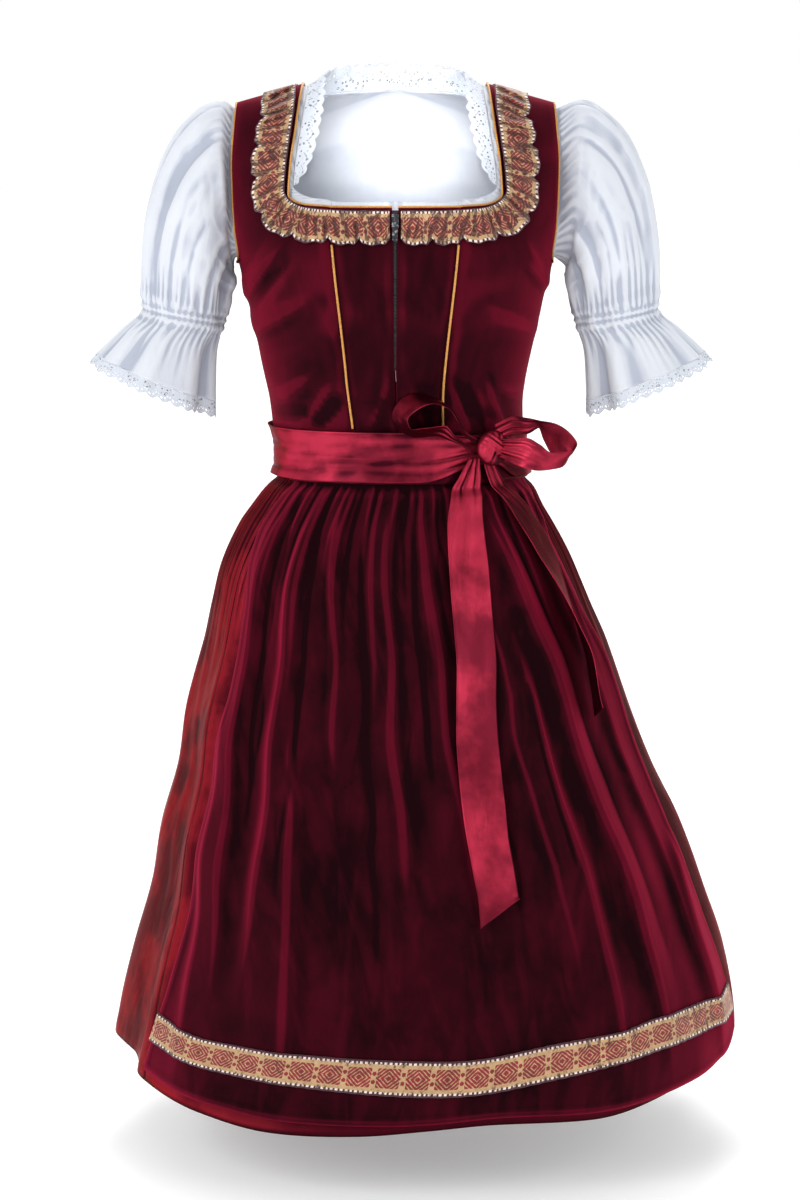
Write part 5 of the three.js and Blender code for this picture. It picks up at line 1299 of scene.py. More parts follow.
# %% Edges of the loops and lines of the hanging ends
LOOP_RIGHT_HAND = table(
    "near far",
    ((80, -104, -376), (84, -96, -372)),
    ((66, -118, -364), (68, -105, -362)),
    ((61, -130, -350), (59, -109, -346)),
    ((51, -138, -336), (42, -112, -329)),
    ((36, -142, -330), (19, -113, -321)),
    ((20, -141, -335), (2, -113, -327)),
    ((9, -137, -347), (-8, -112, -344)),
    ((14, -132, -357), (-3, -110, -358)),
    ((30, -130, -356), (16, -109, -368)),
    ((47, -127, -354), (36, -108, -367)),
    ((60, -119, -367), (54, -106, -372)),
    ((78, -106, -384), (80, -98, -388)),
)

LOOP_LEFT_HAND = table(
    "near far",
    ((100, -94, -356), (102, -92, -374)),
    ((121, -96, -347), (121, -96, -366)),
    ((134, -97, -349), (134, -92, -366)),
    ((148, -97, -352), (147, -86, -360)),
    ((164, -98, -355), (153, -87, -374)),
    ((177, -101, -362), (160, -90, -387)),
    ((187, -107, -375), (175, -99, -395)),
    ((182, -117, -381), (171, -114, -399)),
    ((160, -123, -383), (146, -122, -402)),
    ((146, -122, -374), (133, -121, -400)),
    ((132, -116, -368), (120, -114, -396)),
    ((104, -98, -372), (100, -96, -388)),
)

TAIL_FRONT = table(
    "angle z lift turn wide slant",
    (30, -392, 15, 0, 13, 0),
    (27, -411, 17, 0, 26, 0),
    (24, -433, 13, 0, 38, 0),
    (22, -466, 12, 4, 42, 0),
    (20.5, -500, 11, 4, 44, 0),
    (18.5, -554, 10, 0, 45, 0),
    (15.5, -632, 10, -5, 46, 0),
    (14, -696, 11, 5, 46, 0),
    (13, -737, 12, 8, 46, 0),
    (12.5, -783, 11, -4, 46, 0),
    (12.5, -826, 10, 0, 44, 0),
    (12.3, -848, 10, 0, 42, 30),
)

TAIL_BACK = table(
    "angle z lift turn wide slant",
    (38, -394, 13, 0, 14, 0),
    (43, -422, 13, 0, 24, 0),
    (49, -450, 14, -4, 34, 0),
    (52, -482, 15, -10, 38, 0),
    (52.5, -514, 18, -22, 42, 0),
    (51, -552, 24, -40, 44, 0),
    (49, -596, 30, -52, 44, 0),
    (47.5, -632, 30, -52, 44, 0),
    (47, -654, 30, -50, 42, -18),
)

KNOT_Z, KNOT_WIDE, KNOT_DEEP, KNOT_TALL, KNOT_SEAT = -381, 20, 12, 20, 1.2
KNOT_CREASE, KNOT_PASSED = 0.07, 0.78

around_knot = wrap_point(np.array([TIE_KNOT_ANGLE - 1.0, TIE_KNOT_ANGLE + 1.0]), float(KNOT_Z), TIE_LIFT)
knot_along = around_knot[1] - around_knot[0]
knot_facing = np.cross(knot_along, [0, 0, 1])
knot_facing /= np.linalg.norm(knot_facing)
knot_across = np.cross([0, 0, 1], knot_facing)
knot_centre = wrap_point(TIE_KNOT_ANGLE, float(KNOT_Z), TIE_LIFT)
knot_centre = knot_centre + knot_facing * (KNOT_DEEP * (1 + KNOT_CREASE) + KNOT_SEAT)


# %% Shape the ribbon pieces
def ribbon_creases(grid, seed, strength, start, end):
    """Creases along a ribbon, deepest at the ends that the knot holds."""
    rows, columns = grid.shape[:2]
    along = np.linspace(0, 1, rows)[:, None]
    across = np.linspace(-0.5, 0.5, columns)[None, :]
    held = np.maximum(ease(start, 0, along) if start else 0, ease(1 - end, 1, along) if end else 0)
    pleats = np.cos(across * 2 * math.pi * 2.6 + seed) + 0.5 * np.cos(across * 2 * math.pi * 4.7 + 2 * seed)
    soft = unevenness(along * 260, across * 60, 55, seed)
    soft = soft + 0.4 * crumpled(along * 330, across * 70, 80, seed + 20)
    return strength * held * pleats + 0.8 * soft


RIBBON_COLUMNS, LOOP_PARTS, TAIL_PARTS = 26, 9, 16


def loop_grid(near, far):
    near, far = finer_rows(near, LOOP_PARTS), finer_rows(far, LOOP_PARTS)
    share = np.linspace(0, 1, RIBBON_COLUMNS + 1)[None, :, None]
    return mix(near[:, None, :], far[:, None, :], share)


def tail_grid(line):
    angle, z, lift, turn, wide, slant = (finer_rows(column, TAIL_PARTS) for column in line.values())
    turn = np.radians(turn)
    middle = skirt_point(angle, z, lift)
    out = skirt_point(angle, z, lift + 1) - middle
    out /= np.linalg.norm(out, axis=-1, keepdims=True)
    level = np.cross([0, 0, 1], out)
    level /= np.linalg.norm(level, axis=-1, keepdims=True)
    side = level * np.cos(turn)[:, None] + out * np.sin(turn)[:, None]
    share = np.linspace(-0.5, 0.5, RIBBON_COLUMNS + 1)[None, :, None]
    grid = middle[:, None, :] + side[:, None, :] * share * wide[:, None, None]
    grid[..., 2] += share[..., 0] * slant[:, None]
    return grid


def clear_of_knot(grid):
    """The ribbon, pushed out of the knot where it would pass through it."""
    local = grid - knot_centre
    size = np.array([KNOT_WIDE, KNOT_DEEP, KNOT_TALL]) * KNOT_PASSED
    frame_axes = np.stack([knot_across, knot_facing, [0, 0, 1]])
    reach = np.linalg.norm(local @ frame_axes.T / size, axis=-1, keepdims=True)
    pushed = knot_centre + local / np.maximum(reach, 0.05)
    return np.where(reach < 1, pushed, grid)


ribbon_grids = {}
for name, edges in (("bow_loop_right", LOOP_RIGHT_HAND), ("bow_loop_left", LOOP_LEFT_HAND)):
    grid = loop_grid(edges["near"], edges["far"])
    ribbon_grids[name] = moved_out(grid, ribbon_creases(grid, 3 + len(name), 1.1, 0.3, 0.3))
tail_front = tail_grid(TAIL_FRONT)
ribbon_grids["bow_tail_front"] = moved_out(tail_front, -ribbon_creases(tail_front, 8, 1.2, 0.25, 0))
tail_back = tail_grid(TAIL_BACK)
ribbon_grids["bow_tail_back"] = moved_out(tail_back, -ribbon_creases(tail_back, 11, 1.2, 0.3, 0))
for name, grid in ribbon_grids.items():
    end = sheet(name + "_cloth", clear_of_knot(grid), TAFFETA_WALL, ribbon)
    dress_piece(end, "ribbon", name)
    print(name, "is", round(float(lengths(grid, 0)[-1].mean())), "mm long")

# %% [markdown]
# ## Knot
# The knot is the ribbon drawn round itself: one band slants over the front and covers another
# that runs down. Each band is a raised strip with its own small pleats on a flat rounded form. A
# closed form is enough, because none of its inside shows.

# %% Tie the knot
rows, columns = 50, 96
climb = np.linspace(math.pi, 0, rows + 1)[:, None]
turn = np.linspace(0, 2 * math.pi, columns + 1)[None, :-1]


def squared(value):
    """Swings like a sine, but stays longer near its ends, for a flatter and squarer form."""
    return np.sign(value) * np.abs(value) ** 0.75


across = np.sin(climb) * squared(np.cos(turn))
facing = -np.sin(climb) * squared(np.sin(turn))
up = np.cos(climb) + 0 * turn


def knot_band(across, up, slant, middle, half, high, pleats):
    """A raised band across the knot, with pleats along it."""
    off = across * math.cos(slant) + up * math.sin(slant) - middle
    edge = np.exp(-(np.abs(off / half) ** 5))
    return high * edge * (1 + 0.25 * np.cos(off * pleats) * edge)


over = knot_band(across, up, 0.95, 0.1, 0.40, 5.0, 19)
under_band = knot_band(across, up, -0.35, -0.3, 0.44, 3.4, 16)
bands = np.maximum(over, under_band) * np.clip(facing + 0.3, 0, 1)
knot_points = (
    knot_centre
    + (across * (KNOT_WIDE + 1 - 2.5 * up * up))[..., None] * knot_across
    + (facing * (KNOT_DEEP - 4.5) + bands)[..., None] * knot_facing
    + (up * (KNOT_TALL - 1) * (1 - 0.12 * across))[..., None] * np.array([0, 0, 1.0])
)
knot_points = facing_away(knot_points, knot_centre, closed=True)
knot_cloth = sheet("bow_knot_cloth", knot_points, TAFFETA_WALL, ribbon, closed=True)
dress_piece(knot_cloth, "ribbon", "bow_knot")

# %% [markdown]
# ## Blouse body
# The blouse hangs just inside the bodice and shows only round the neck and armholes. It follows
# the same seam rows, a few millimetres in, with its own smaller neckline. Its neck edge is drawn
# up in small gathers.

# %% Neckline of the blouse
BLOUSE_FRONT_NECK = table(
    "row x z",
    (7, 66, -122),
    (8, 92, -117),
    (9, 107, -106),
    (10, 105, -80),
    (11, 100, -48),
    (12, 96, -22),
    (13, 93, 0),
)

BLOUSE_BACK_NECK = table(
    "row x z deeper",
    (5, 0, -172, 0.6),
    (6, 0, -142, 1.2),
    (7, 0, -108, 0),
    (8, 0, -72, 0),
    (9, 0, -38, 1),
    (10, 0, -6, 4),
    (11, 56, -10, 6),
    (12, 84, -15, 4),
    (13, 93, 0, 0),
)

BLOUSE_INSET = 4
BLOUSE_FIRST_ROW = 3
BLOUSE_BACK_NECK_ROW = 10
BLOUSE_COLUMNS, BLOUSE_PARTS = 26, 8
GATHER_PITCH, GATHER_DEEP, GATHER_REACH = 5.2, 0.9, 14


def blouse_rows(rows, neck):
    """The bodice's rows with the blouse's own neck points, and how much deeper each lies."""
    changed = {name: column.copy() for name, column in rows.items()}
    deeper = np.zeros(len(rows["x"]))
    for k, row in enumerate(neck["row"].astype(int)):
        changed["x"][row], changed["z"][row] = neck["x"][k], neck["z"][k]
        deeper[row] = neck["deeper"][k] if "deeper" in neck else 0
    return {name: column[BLOUSE_FIRST_ROW:] for name, column in changed.items()}, deeper[BLOUSE_FIRST_ROW:]


def gathered(grid, start):
    """Small gathers along the panel's neck edge, which runs up its inner side from a row."""
    from_edge = lengths(grid, 1)
    if grid[0, 0, 0] ** 2 > grid[0, -1, 0] ** 2:
        from_edge = from_edge[:, -1:] - from_edge
    along = lengths(grid, 0)
    fade = ease(GATHER_REACH, 0, from_edge) * ease(start - 2, start + 2, np.arange(len(grid))[:, None])
    return moved_out(grid, -GATHER_DEEP * fade * (0.5 - 0.5 * np.cos(2 * math.pi * along / GATHER_PITCH)))


def blouse_half(sign, rows, neck, back):
    rows, deeper = blouse_rows(rows, neck)
    grid = panel_grid(sign, rows, back, BLOUSE_COLUMNS, BLOUSE_PARTS, BLOUSE_INSET, deeper)
    first_neck_row = BLOUSE_BACK_NECK_ROW if back else CENTRE_FRONT_COUNT - 1
    return gathered(grid, (first_neck_row - BLOUSE_FIRST_ROW) * BLOUSE_PARTS)


def blouse_centre(sign):
    rows, _ = blouse_rows(SIDE_FRONT_ROWS, BLOUSE_FRONT_NECK)
    count = CENTRE_FRONT_COUNT - BLOUSE_FIRST_ROW
    t = np.linspace(0, 1, 25)[None, :]
    end = torso_angle(rows["x"][:count], rows["z"][:count], False, BLOUSE_INSET)
    angle = finer_rows(end[:, None] * t, BLOUSE_PARTS)
    z = finer_rows(rows["z"][:count], BLOUSE_PARTS)[:, None] + 0 * angle
    grid = facing_away(torso_point(sign * angle, z, BLOUSE_INSET), TORSO_CORE)
    top = ease(-150, -124, z)
    wave = 0.5 - 0.5 * np.cos(2 * math.pi * grid[..., 0] / GATHER_PITCH)
    return moved_out(grid, -GATHER_DEEP * top * wave)


JOIN_DISTANCE = 0.0003


def joined(name, grids, wall, material):
    """Several grids sewn into one piece."""
    parts = [sheet(f"{name}_{k}", grid, wall, material) for k, grid in enumerate(grids)]
    for part in parts[1:]:
        pieces.pop(part.name)
    whole = parts[0]
    with bpy.context.temp_override(active_object=whole, selected_editable_objects=parts):
        bpy.ops.object.join()
    shell = bmesh.new()
    shell.from_mesh(whole.data)
    bmesh.ops.remove_doubles(shell, verts=shell.verts, dist=JOIN_DISTANCE)
    shell.to_mesh(whole.data)
    shell.free()
    pieces.pop(whole.name, None)
    whole.name = whole.data.name = name
    pieces[name] = whole
    return whole


blouse_front_grids = [blouse_half(sign, SIDE_FRONT_ROWS, BLOUSE_FRONT_NECK, False) for sign in SIDES.values()]
blouse_front_grids += [blouse_centre(sign) for sign in SIDES.values()]
blouse_front = joined("blouse_front_cloth", blouse_front_grids, COTTON_WALL, cotton)
dress_piece(blouse_front, "cotton", "blouse_front")
blouse_back_grids = [blouse_half(sign, BACK_ROWS, BLOUSE_BACK_NECK, True) for sign in SIDES.values()]
blouse_back = joined("blouse_back_cloth", blouse_back_grids, COTTON_WALL, cotton)
dress_piece(blouse_back, "cotton", "blouse_back")

# %% [markdown]
# ## Sleeves
# A puff sleeve is a wide tube of cotton gathered into the armhole at its top and drawn in by
# elastic rows above a flounce. It is lofted through rings. Fine gathers of uneven length fan
# out from the armhole and from the elastic, and a few long soft folds cross the puff.

# %% Rings of the sleeve
SLEEVE_RINGS = table(
    "outX outZ inX inZ deep gather",
    (191, -17, 179, -197, 53, 1),
    (216, -26, 178, -202, 62, 2.5),
    (245, -58, 177, -208, 68, 3),
    (267, -108, 178, -216, 71, 3.5),
    (279, -168, 180, -226, 67, 3),
    (281, -226, 186, -247, 51, 2),
    (281, -243, 190, -262, 48, 1.5),
    (303, -261, 197, -288, 59, 4),
    (330, -286, 199, -338, 73, 6),
)

CUFF_LACE_END = {"outX": 339, "outZ": -297, "inX": 199, "inZ": -357, "deep": 79, "gather": 6}
ARMHOLE_FOOT = 5
SLEEVE_GATHERS, FLOUNCE_WAVES, CASING_RING = 11, 9, 6
SLEEVE_COLUMNS = 210


def armhole_loop(sign, inset):
    """The armhole's edge, from the shoulder down the front and up the back."""
    front = {name: column[ARMHOLE_FOOT:][::-1] for name, column in SIDE_FRONT_ROWS.items()}
    back = {name: column[ARMHOLE_FOOT + 1 : -1] for name, column in BACK_ROWS.items()}
    angle = np.radians(np.concatenate([front["angle"], 180 - back["angle"]]))
    z = np.concatenate([front["zOut"], back["zOut"]])
    half = read(TORSO, "z", z[0], "half") - inset
    z[0] = ridge_height(half * across_share(angle[0])) - inset
    return torso_point(sign * angle, z, inset)


def closed_curve(points, count):
    """A smooth closed curve through the points, starting at the first."""
    wrapped = np.concatenate([points[-3:], points, points[:4]])
    at = np.linspace(0, len(points), count + 1)[:-1] + 3
    return curve_through(np.arange(len(wrapped)), wrapped, at)


def drawn_loop(loop, sign, inwards, outwards):
    radial = (loop - loop.mean(axis=0)) * [0, 1, 1]
    radial /= np.linalg.norm(radial, axis=-1, keepdims=True)
    return loop - radial * inwards + np.array([sign * outwards, 0, 0])


def sleeve_ring(sign, ring, waves):
    turn = np.arange(SLEEVE_COLUMNS) / SLEEVE_COLUMNS * 2 * math.pi
    outer = np.array([sign * ring["outX"], 0, ring["outZ"]])
    inner = np.array([sign * ring["inX"], 0, ring["inZ"]])
    reach = (outer - inner) / 2
    uneven = 0.6 + 0.4 * np.sin(3 * turn + sign)
    wave = ring["gather"] * uneven * np.cos(waves * turn + 0.7 * sign + 0.5 * np.sin(2 * turn))
    radial = reach * np.cos(turn)[:, None] + np.array([0, -ring["deep"], 0]) * np.sin(turn)[:, None]
    direction = radial / np.linalg.norm(radial, axis=-1, keepdims=True)
    return (outer + inner) / 2 + radial + direction * (wave - ring["gather"] / 2)[:, None]


def sleeve_coarse(sign):
    head = closed_curve(drawn_loop(armhole_loop(sign, BLOUSE_INSET), sign, 2, -1), SLEEVE_COLUMNS)
    passing = closed_curve(drawn_loop(armhole_loop(sign, 0), sign, 6, 3), SLEEVE_COLUMNS)
    rings = [
        sleeve_ring(sign, ring, FLOUNCE_WAVES if k > CASING_RING else SLEEVE_GATHERS)
        for k, ring in enumerate(each_row(SLEEVE_RINGS))
    ]
    return np.stack([head, passing] + rings)


def fine_gathers(row, columns, count, seed, held, fade):
    """Narrow gathers of uneven spacing. Each begins at the held row and fades at its own row."""
    turn = np.arange(columns)[None, :] / columns * 2 * math.pi
    pick = np.random.default_rng(seed)
    spacing = turn + 0.07 * np.sin(3 * turn + pick.uniform(0, 6))
    spacing = spacing + 0.03 * np.sin(8 * turn + pick.uniform(0, 6))
    number = spacing * count / (2 * math.pi)
    which = np.mod(np.floor(number), count).astype(int)
    reach, depth = pick.uniform(0.42, 1.0, count + 2)[which], pick.uniform(0.5, 1.0, count + 2)[which]
    gone = np.abs(row - held) / np.maximum(np.abs(fade - held) * reach, 1e-3)
    return depth * ease(1, 0, gone) * (1 - 2 * np.abs(np.sin(number * math.pi)) ** 0.8)


SLEEVE_FOLDS = table(
    "turn foot rise wide lean from to",
    (0.55, 0.45, 2.6, 0.12, 1, 1.6, 7.6),
    (1.05, 0.85, -2.8, 0.10, -1, 1.4, 6.6),
    (1.40, 1.45, 2.8, 0.11, 1, 2.6, 8.4),
    (1.80, 1.60, -2.2, 0.12, -1, 3.4, 7.4),
    (2.25, 2.00, 3.2, 0.12, -1, 1.6, 7.4),
    (2.62, 2.42, -3.0, 0.10, 1, 1.8, 7.8),
    (2.95, 2.75, 2.8, 0.10, 1, 2.4, 7.8),
    (3.70, 3.80, 2.6, 0.14, 1, 1.4, 7.0),
    (4.40, 4.20, -2.6, 0.12, -1, 2.0, 7.6),
    (4.90, 5.00, 2.8, 0.13, -1, 1.6, 7.6),
    (5.60, 5.50, -2.4, 0.12, 1, 2.6, 7.0),
)


def number_of_puckers(turn):
    return turn * 46 + 1.4 * np.sin(5 * turn)


def smooth_loft(coarse, parts):
    """Rings between the given ones, on curves that swell evenly."""
    count = len(coarse)
    at = np.linspace(0, count - 1, (count - 1) * parts + 1)
    i = np.clip(at.astype(int), 0, count - 2)
    t = (at - i)[:, None, None]
    before, after = coarse[np.maximum(i - 1, 0)], coarse[np.minimum(i + 2, count - 1)]
    a, b = coarse[i], coarse[i + 1]
    bend = 2 * before - 5 * a + 4 * b - after + t * (3 * (a - b) + after - before)
    return a + 0.5 * t * (b - before + t * bend)


SLEEVE_PARTS = 10
SLEEVE_CORE_X, SLEEVE_CORE_Z = 225, -170


def sleeve_grid(sign):
    core = (sign * SLEEVE_CORE_X, 0, SLEEVE_CORE_Z)
    grid = facing_away(smooth_loft(sleeve_coarse(sign), SLEEVE_PARTS), core, closed=True)
    row = np.linspace(0, len(SLEEVE_RINGS["deep"]) + 1, len(grid))[:, None]
    columns = grid.shape[1]
    turn = np.arange(columns)[None, :] / columns * 2 * math.pi
    if np.sign(grid[len(grid) // 2, columns // 4, 1]) > 0:
        turn = 2 * math.pi - turn
    relief = 1.2 * ease(0.9, 1.2, row) * fine_gathers(row, columns, 44, 61 + sign, 1.0, 3.4)
    relief = relief + 1.9 * ease(7.2, 6.9, row) * fine_gathers(row, columns, 40, 64 + sign, 7.0, 4.6)
    relief = relief + 1.6 * ease(7.9, 8.2, row) * fine_gathers(row, columns, 38, 67 + sign, 8.1, 10.6)
    shirring = ease(6.7, 7.0, row) * ease(8.5, 8.2, row)
    puckered = 0.5 + 0.5 * np.cos(number_of_puckers(turn))
    relief = relief + shirring * (0.8 * np.cos((row - 6.9) * 2 * math.pi / 0.55) + 0.9 * puckered)
    for fold in each_row(SLEEVE_FOLDS):
        along = np.clip((row - fold["from"]) / (fold["to"] - fold["from"]), 0, 1)
        off = np.mod(turn - mix(fold["turn"], fold["foot"], along) + math.pi, 2 * math.pi) - math.pi
        strength = ease(0, 0.3, along) * ease(1, 0.7, along)
        relief = relief + fold["rise"] * strength * crest(off / fold["wide"], fold["lean"] * sign)
    swell = ease(1.3, 2.6, row) * ease(7.2, 6.2, row)
    soft = 1.6 * unevenness(turn * 80, row * 30, 90, 64 + sign) + 0.7 * crumpled(turn * 80, row * 40, 70, 71)
    relief = relief + swell * soft
    return moved_out(grid, np.clip(relief - 1.0, -6, 2.2), closed=True)


for side, sign in SIDES.items():
    grid = sleeve_grid(sign)
    sleeve = sheet(f"sleeve_{side}_cloth", grid, COTTON_WALL, cotton, closed=True)
    dress_piece(sleeve, "cotton", f"sleeve_{side}")
    print("sleeve", side, "area", round(cloth_area(grid, True), 4), "m2, flounce round", hem_length(grid))

# %% [markdown]
# ## Cuff lace
# A narrow lace continues each flounce. Its net and eyelets are too fine to cut as faces, so the
# lace's material opens them. Its outline is cut in the mesh: a row of rounded points with small
# dips between them.

# %% Edge the flounces with lace
LACE_WALL = 0.5
CUFF_LACE_ROWS, CUFF_LACE_WIDE = 14, 21


def picots(along, pitch):
    """How far a scalloped edge falls short of its points, from 0 at a point to 1 in a dip."""
    phase = np.abs(np.mod(along / pitch + 0.5, 1) - 0.5) * 2
    return phase**1.6


def lace_map(grid, wide):
    """Metres along a closed lace, stretched to whole repeats, and across it."""
    grid = np.concatenate([grid, grid[:, :1]], axis=1)
    middle = lengths(grid, 1).mean(axis=0)
    repeat = max(1, round(middle[-1] / PICOT_PITCH)) * PICOT_PITCH / middle[-1]
    u = np.broadcast_to(middle[None, :] * repeat, grid.shape[:2])
    v = np.broadcast_to(np.linspace(0, 1, len(grid))[:, None] * wide, grid.shape[:2])
    return np.stack([u / 1000, v / 1000], axis=-1)


def cuff_lace_grid(sign):
    sewn_ring = sleeve_ring(sign, each_row(SLEEVE_RINGS)[-1], FLOUNCE_WAVES)
    free_ring = sleeve_ring(sign, CUFF_LACE_END, FLOUNCE_WAVES)
    share = np.linspace(0.02, 1, CUFF_LACE_ROWS + 1)[:, None]
    middle = lengths(np.stack([sewn_ring, free_ring]), 1).mean(axis=0)
    around = np.concatenate([middle, middle[-1:] * len(middle) / (len(middle) - 1)])
    count = max(1, round(around[-1] / PICOT_PITCH))
    dip = 4.0 * picots(middle / around[-1] * count, 1.0)
    length = np.linalg.norm(free_ring - sewn_ring, axis=-1)
    return sewn_ring + (free_ring - sewn_ring) * (share * (1 - dip / length)[None, :])[..., None]


for side, sign in SIDES.items():
    grid = facing_away(cuff_lace_grid(sign), (sign * 262, 0, -300), closed=True)
    row = np.linspace(10.0, 10.5, len(grid))[:, None]
    ruffle = 1.6 * fine_gathers(row, grid.shape[1], 38, 67 + sign, 8.1, 12.6) - 1.0
    grid = moved_out(grid, np.clip(ruffle, -3, 1.2), closed=True)
    lace_piece = sheet(f"cuff_lace_{side}_cloth", grid, LACE_WALL, lace, True, lace_map(grid, CUFF_LACE_WIDE))
    dress_piece(lace_piece, "lace", f"cuff_lace_{side}")

# %% [markdown]
# ## Neck lace
# The same lace runs round the blouse's neck. In front it lies on the chest inside the straps,
# and behind the neck it stands up by itself.

# %% Lines of the neck lace
NECK_LACE_FRONT = table(
    "row freeX freeZ",
    (9, 101, -104),
    (10, 86, -78),
    (11, 78, -45),
    (12, 74, -18),
)

NECK_LACE_BACK = table(
    "row freeX freeZ lean",
    (13, 73, 11, 3),
    (12, 70, 15, -3),
    (11, 52, 19, -3),
    (10, 0, 22, -4),
)

LACE_SEAM = 0.7


def blouse_neck_points(sign, neck, rows_wanted, back):
    index = [list(neck["row"].astype(int)).index(int(row)) for row in rows_wanted]
    deeper = neck["deeper"][index] if "deeper" in neck else np.zeros(len(index))
    inset = BLOUSE_INSET + deeper
    x, z = neck["x"][index], neck["z"][index]
    angle = torso_angle(x, z, back, inset)
    last = np.array(rows_wanted) == len(SIDE_FRONT_ROWS["x"]) - 1
    half = read(TORSO, "z", z, "half") - inset
    z = np.where(last, ridge_height(half * across_share(angle)) - inset, z)
    return torso_point(sign * angle, z, inset)


def neck_lace_half(sign):
    middle = float(read(TORSO, "z", 0, "shift"))
    sewn_front = blouse_neck_points(sign, BLOUSE_FRONT_NECK, NECK_LACE_FRONT["row"], False)
    x, z = NECK_LACE_FRONT["freeX"], NECK_LACE_FRONT["freeZ"]
    free_front = torso_point(sign * torso_angle(x, z, False, BLOUSE_INSET), z, BLOUSE_INSET)
    sewn_back = blouse_neck_points(sign, BLOUSE_BACK_NECK, NECK_LACE_BACK["row"], True)
    free_x = middle + sign * NECK_LACE_BACK["freeX"]
    free_y = sewn_back[:, 1] + NECK_LACE_BACK["lean"]
    free_back = np.stack([free_x, free_y, NECK_LACE_BACK["freeZ"]], -1)
    sewn_line, free_line = np.concatenate([sewn_front, sewn_back]), np.concatenate([free_front, free_back])
    across = free_line - sewn_line
    return sewn_line + LACE_SEAM * across / np.linalg.norm(across, axis=-1, keepdims=True), free_line


right_sewn, right_free = neck_lace_half(-1)
left_sewn, left_free = neck_lace_half(1)
sewn_line = finer_rows(np.concatenate([right_sewn[:-1], left_sewn[::-1]]), 26)
free_line = finer_rows(np.concatenate([right_free[:-1], left_free[::-1]]), 26)
middle_length = lengths(np.stack([sewn_line, free_line]), 1).mean(axis=0)
dip = 3.2 * picots(middle_length, PICOT_PITCH)
wide = np.linalg.norm(free_line - sewn_line, axis=-1)
share = np.linspace(0, 1, 13)[:, None]
neck_lace_grid = sewn_line + (free_line - sewn_line) * (share * (1 - dip / wide)[None, :])[..., None]
neck_lace_grid = facing_away(neck_lace_grid, (0, 20, -60))
flutter = 1.1 * share * np.sin(middle_length * 2 * math.pi / 23 + 1.2 * np.sin(middle_length / 31))[None, :]
neck_lace_uv = np.stack(np.broadcast_arrays(middle_length[None, :] / 1000, share * 0.024), axis=-1)
neck_lace_grid = moved_out(neck_lace_grid, flutter)
neck_lace_piece = sheet("neck_lace_cloth", neck_lace_grid, LACE_WALL, lace, cloth_uv=neck_lace_uv)
dress_piece(neck_lace_piece, "lace", "neck_lace")
print("neck lace is", round(float(middle_length[-1])), "mm long")

# %% [markdown]
# ## Neckline braid
# The same braid as on the apron trims the neckline, but ruched: a thread every 32 mm draws it
# together, so that it stands up in puffs between tucks and its outer edge runs in scallops. It
# is split at the zip.

# %% Lines of the neckline braid
NECK_BRAID_FRONT = table(
    "x z outX outZ",
    (6, -131, 6, -164),
    (36, -131, 36, -164),
    (68, -130, 68, -163),
    (92, -128, 106, -160),
    (108, -122, 134, -148),
    (116, -110, 148, -124),
    (114, -84, 150, -88),
    (109, -48, 145, -50),
    (106, -24, 141, -32),
    (105.5, -9, 140, -18.5),
    (105, -0.6, 139, -9.6),
)

NECK_BRAID_BACK = table(
    "x z outX outZ",
    (105, -0.6, 139, -9.6),
    (105.5, -9, 140, -20),
    (105, -22, 139, -34),
    (96, -24, 122, -46),
    (80, -40, 98, -68),
    (44, -50, 54, -82),
    (0, -52, 0, -85),
)

NECK_BRAID_WIDE, NECK_BRAID_LIFT = 34, 1.8
NECK_TUCK_PITCH = 32
NECK_BRAID_COLUMNS = 24
FRONT_BRAID_PARTS, BACK_BRAID_PARTS = 18, 15
BACK_RUCHE = 0.35


def neck_braid(sign, line, back, parts, ruche):
    inner = finer_rows(np.stack([line["x"], line["z"]], -1), parts)
    outer = finer_rows(np.stack([line["outX"], line["outZ"]], -1), parts)
    middle = (inner + outer) / 2
    length = np.concatenate([[0], np.cumsum(np.linalg.norm(np.diff(middle, axis=0), axis=-1))])[:, None]
    share = np.linspace(0, 1, NECK_BRAID_COLUMNS + 1)[None, :]
    phase = 2 * math.pi * length / NECK_TUCK_PITCH
    reach = (outer - inner) / np.linalg.norm(outer - inner, axis=-1, keepdims=True)
    pulled = np.exp(-((np.mod(length / NECK_TUCK_PITCH + 0.5, 1) - 0.5) / 0.09) ** 2)
    scallop = ruche * share * (1.8 + 0.9 * np.cos(2 * phase + sign) - 6.5 * pulled)
    straight = mix(inner[:, None, :], outer[:, None, :], share[..., None])
    flat = straight + reach[:, None, :] * scallop[..., None]
    wave = ruche * 1.7 * (1 + np.cos(phase + 2.2 * share + sign)) * (0.35 + 0.65 * share)
    tuck = np.exp(-((np.mod(length / NECK_TUCK_PITCH + 0.5 + 0.1 * share * sign, 1) - 0.5) / 0.07) ** 2)
    pucker = np.cos(length * 2 * math.pi / 9.1 + 5 * share + 2 * np.sin(length / 17))
    fan = 1.7 * pucker * np.exp(-(((share - 0.5) / 0.4) ** 2))
    crinkled = 1.5 * crumpled(length, share * 40, 24, 81 + sign)
    lift = NECK_BRAID_LIFT + wave + ruche * (fan + crinkled + 1.8 - 4.4 * tuck * (0.3 + 0.7 * share))
    lift = np.maximum(lift, 1.2)
    x, z = flat[..., 0], flat[..., 1]
    grid = torso_point(sign * torso_angle(x, z, back, -lift), z, -lift)
    return grid, length


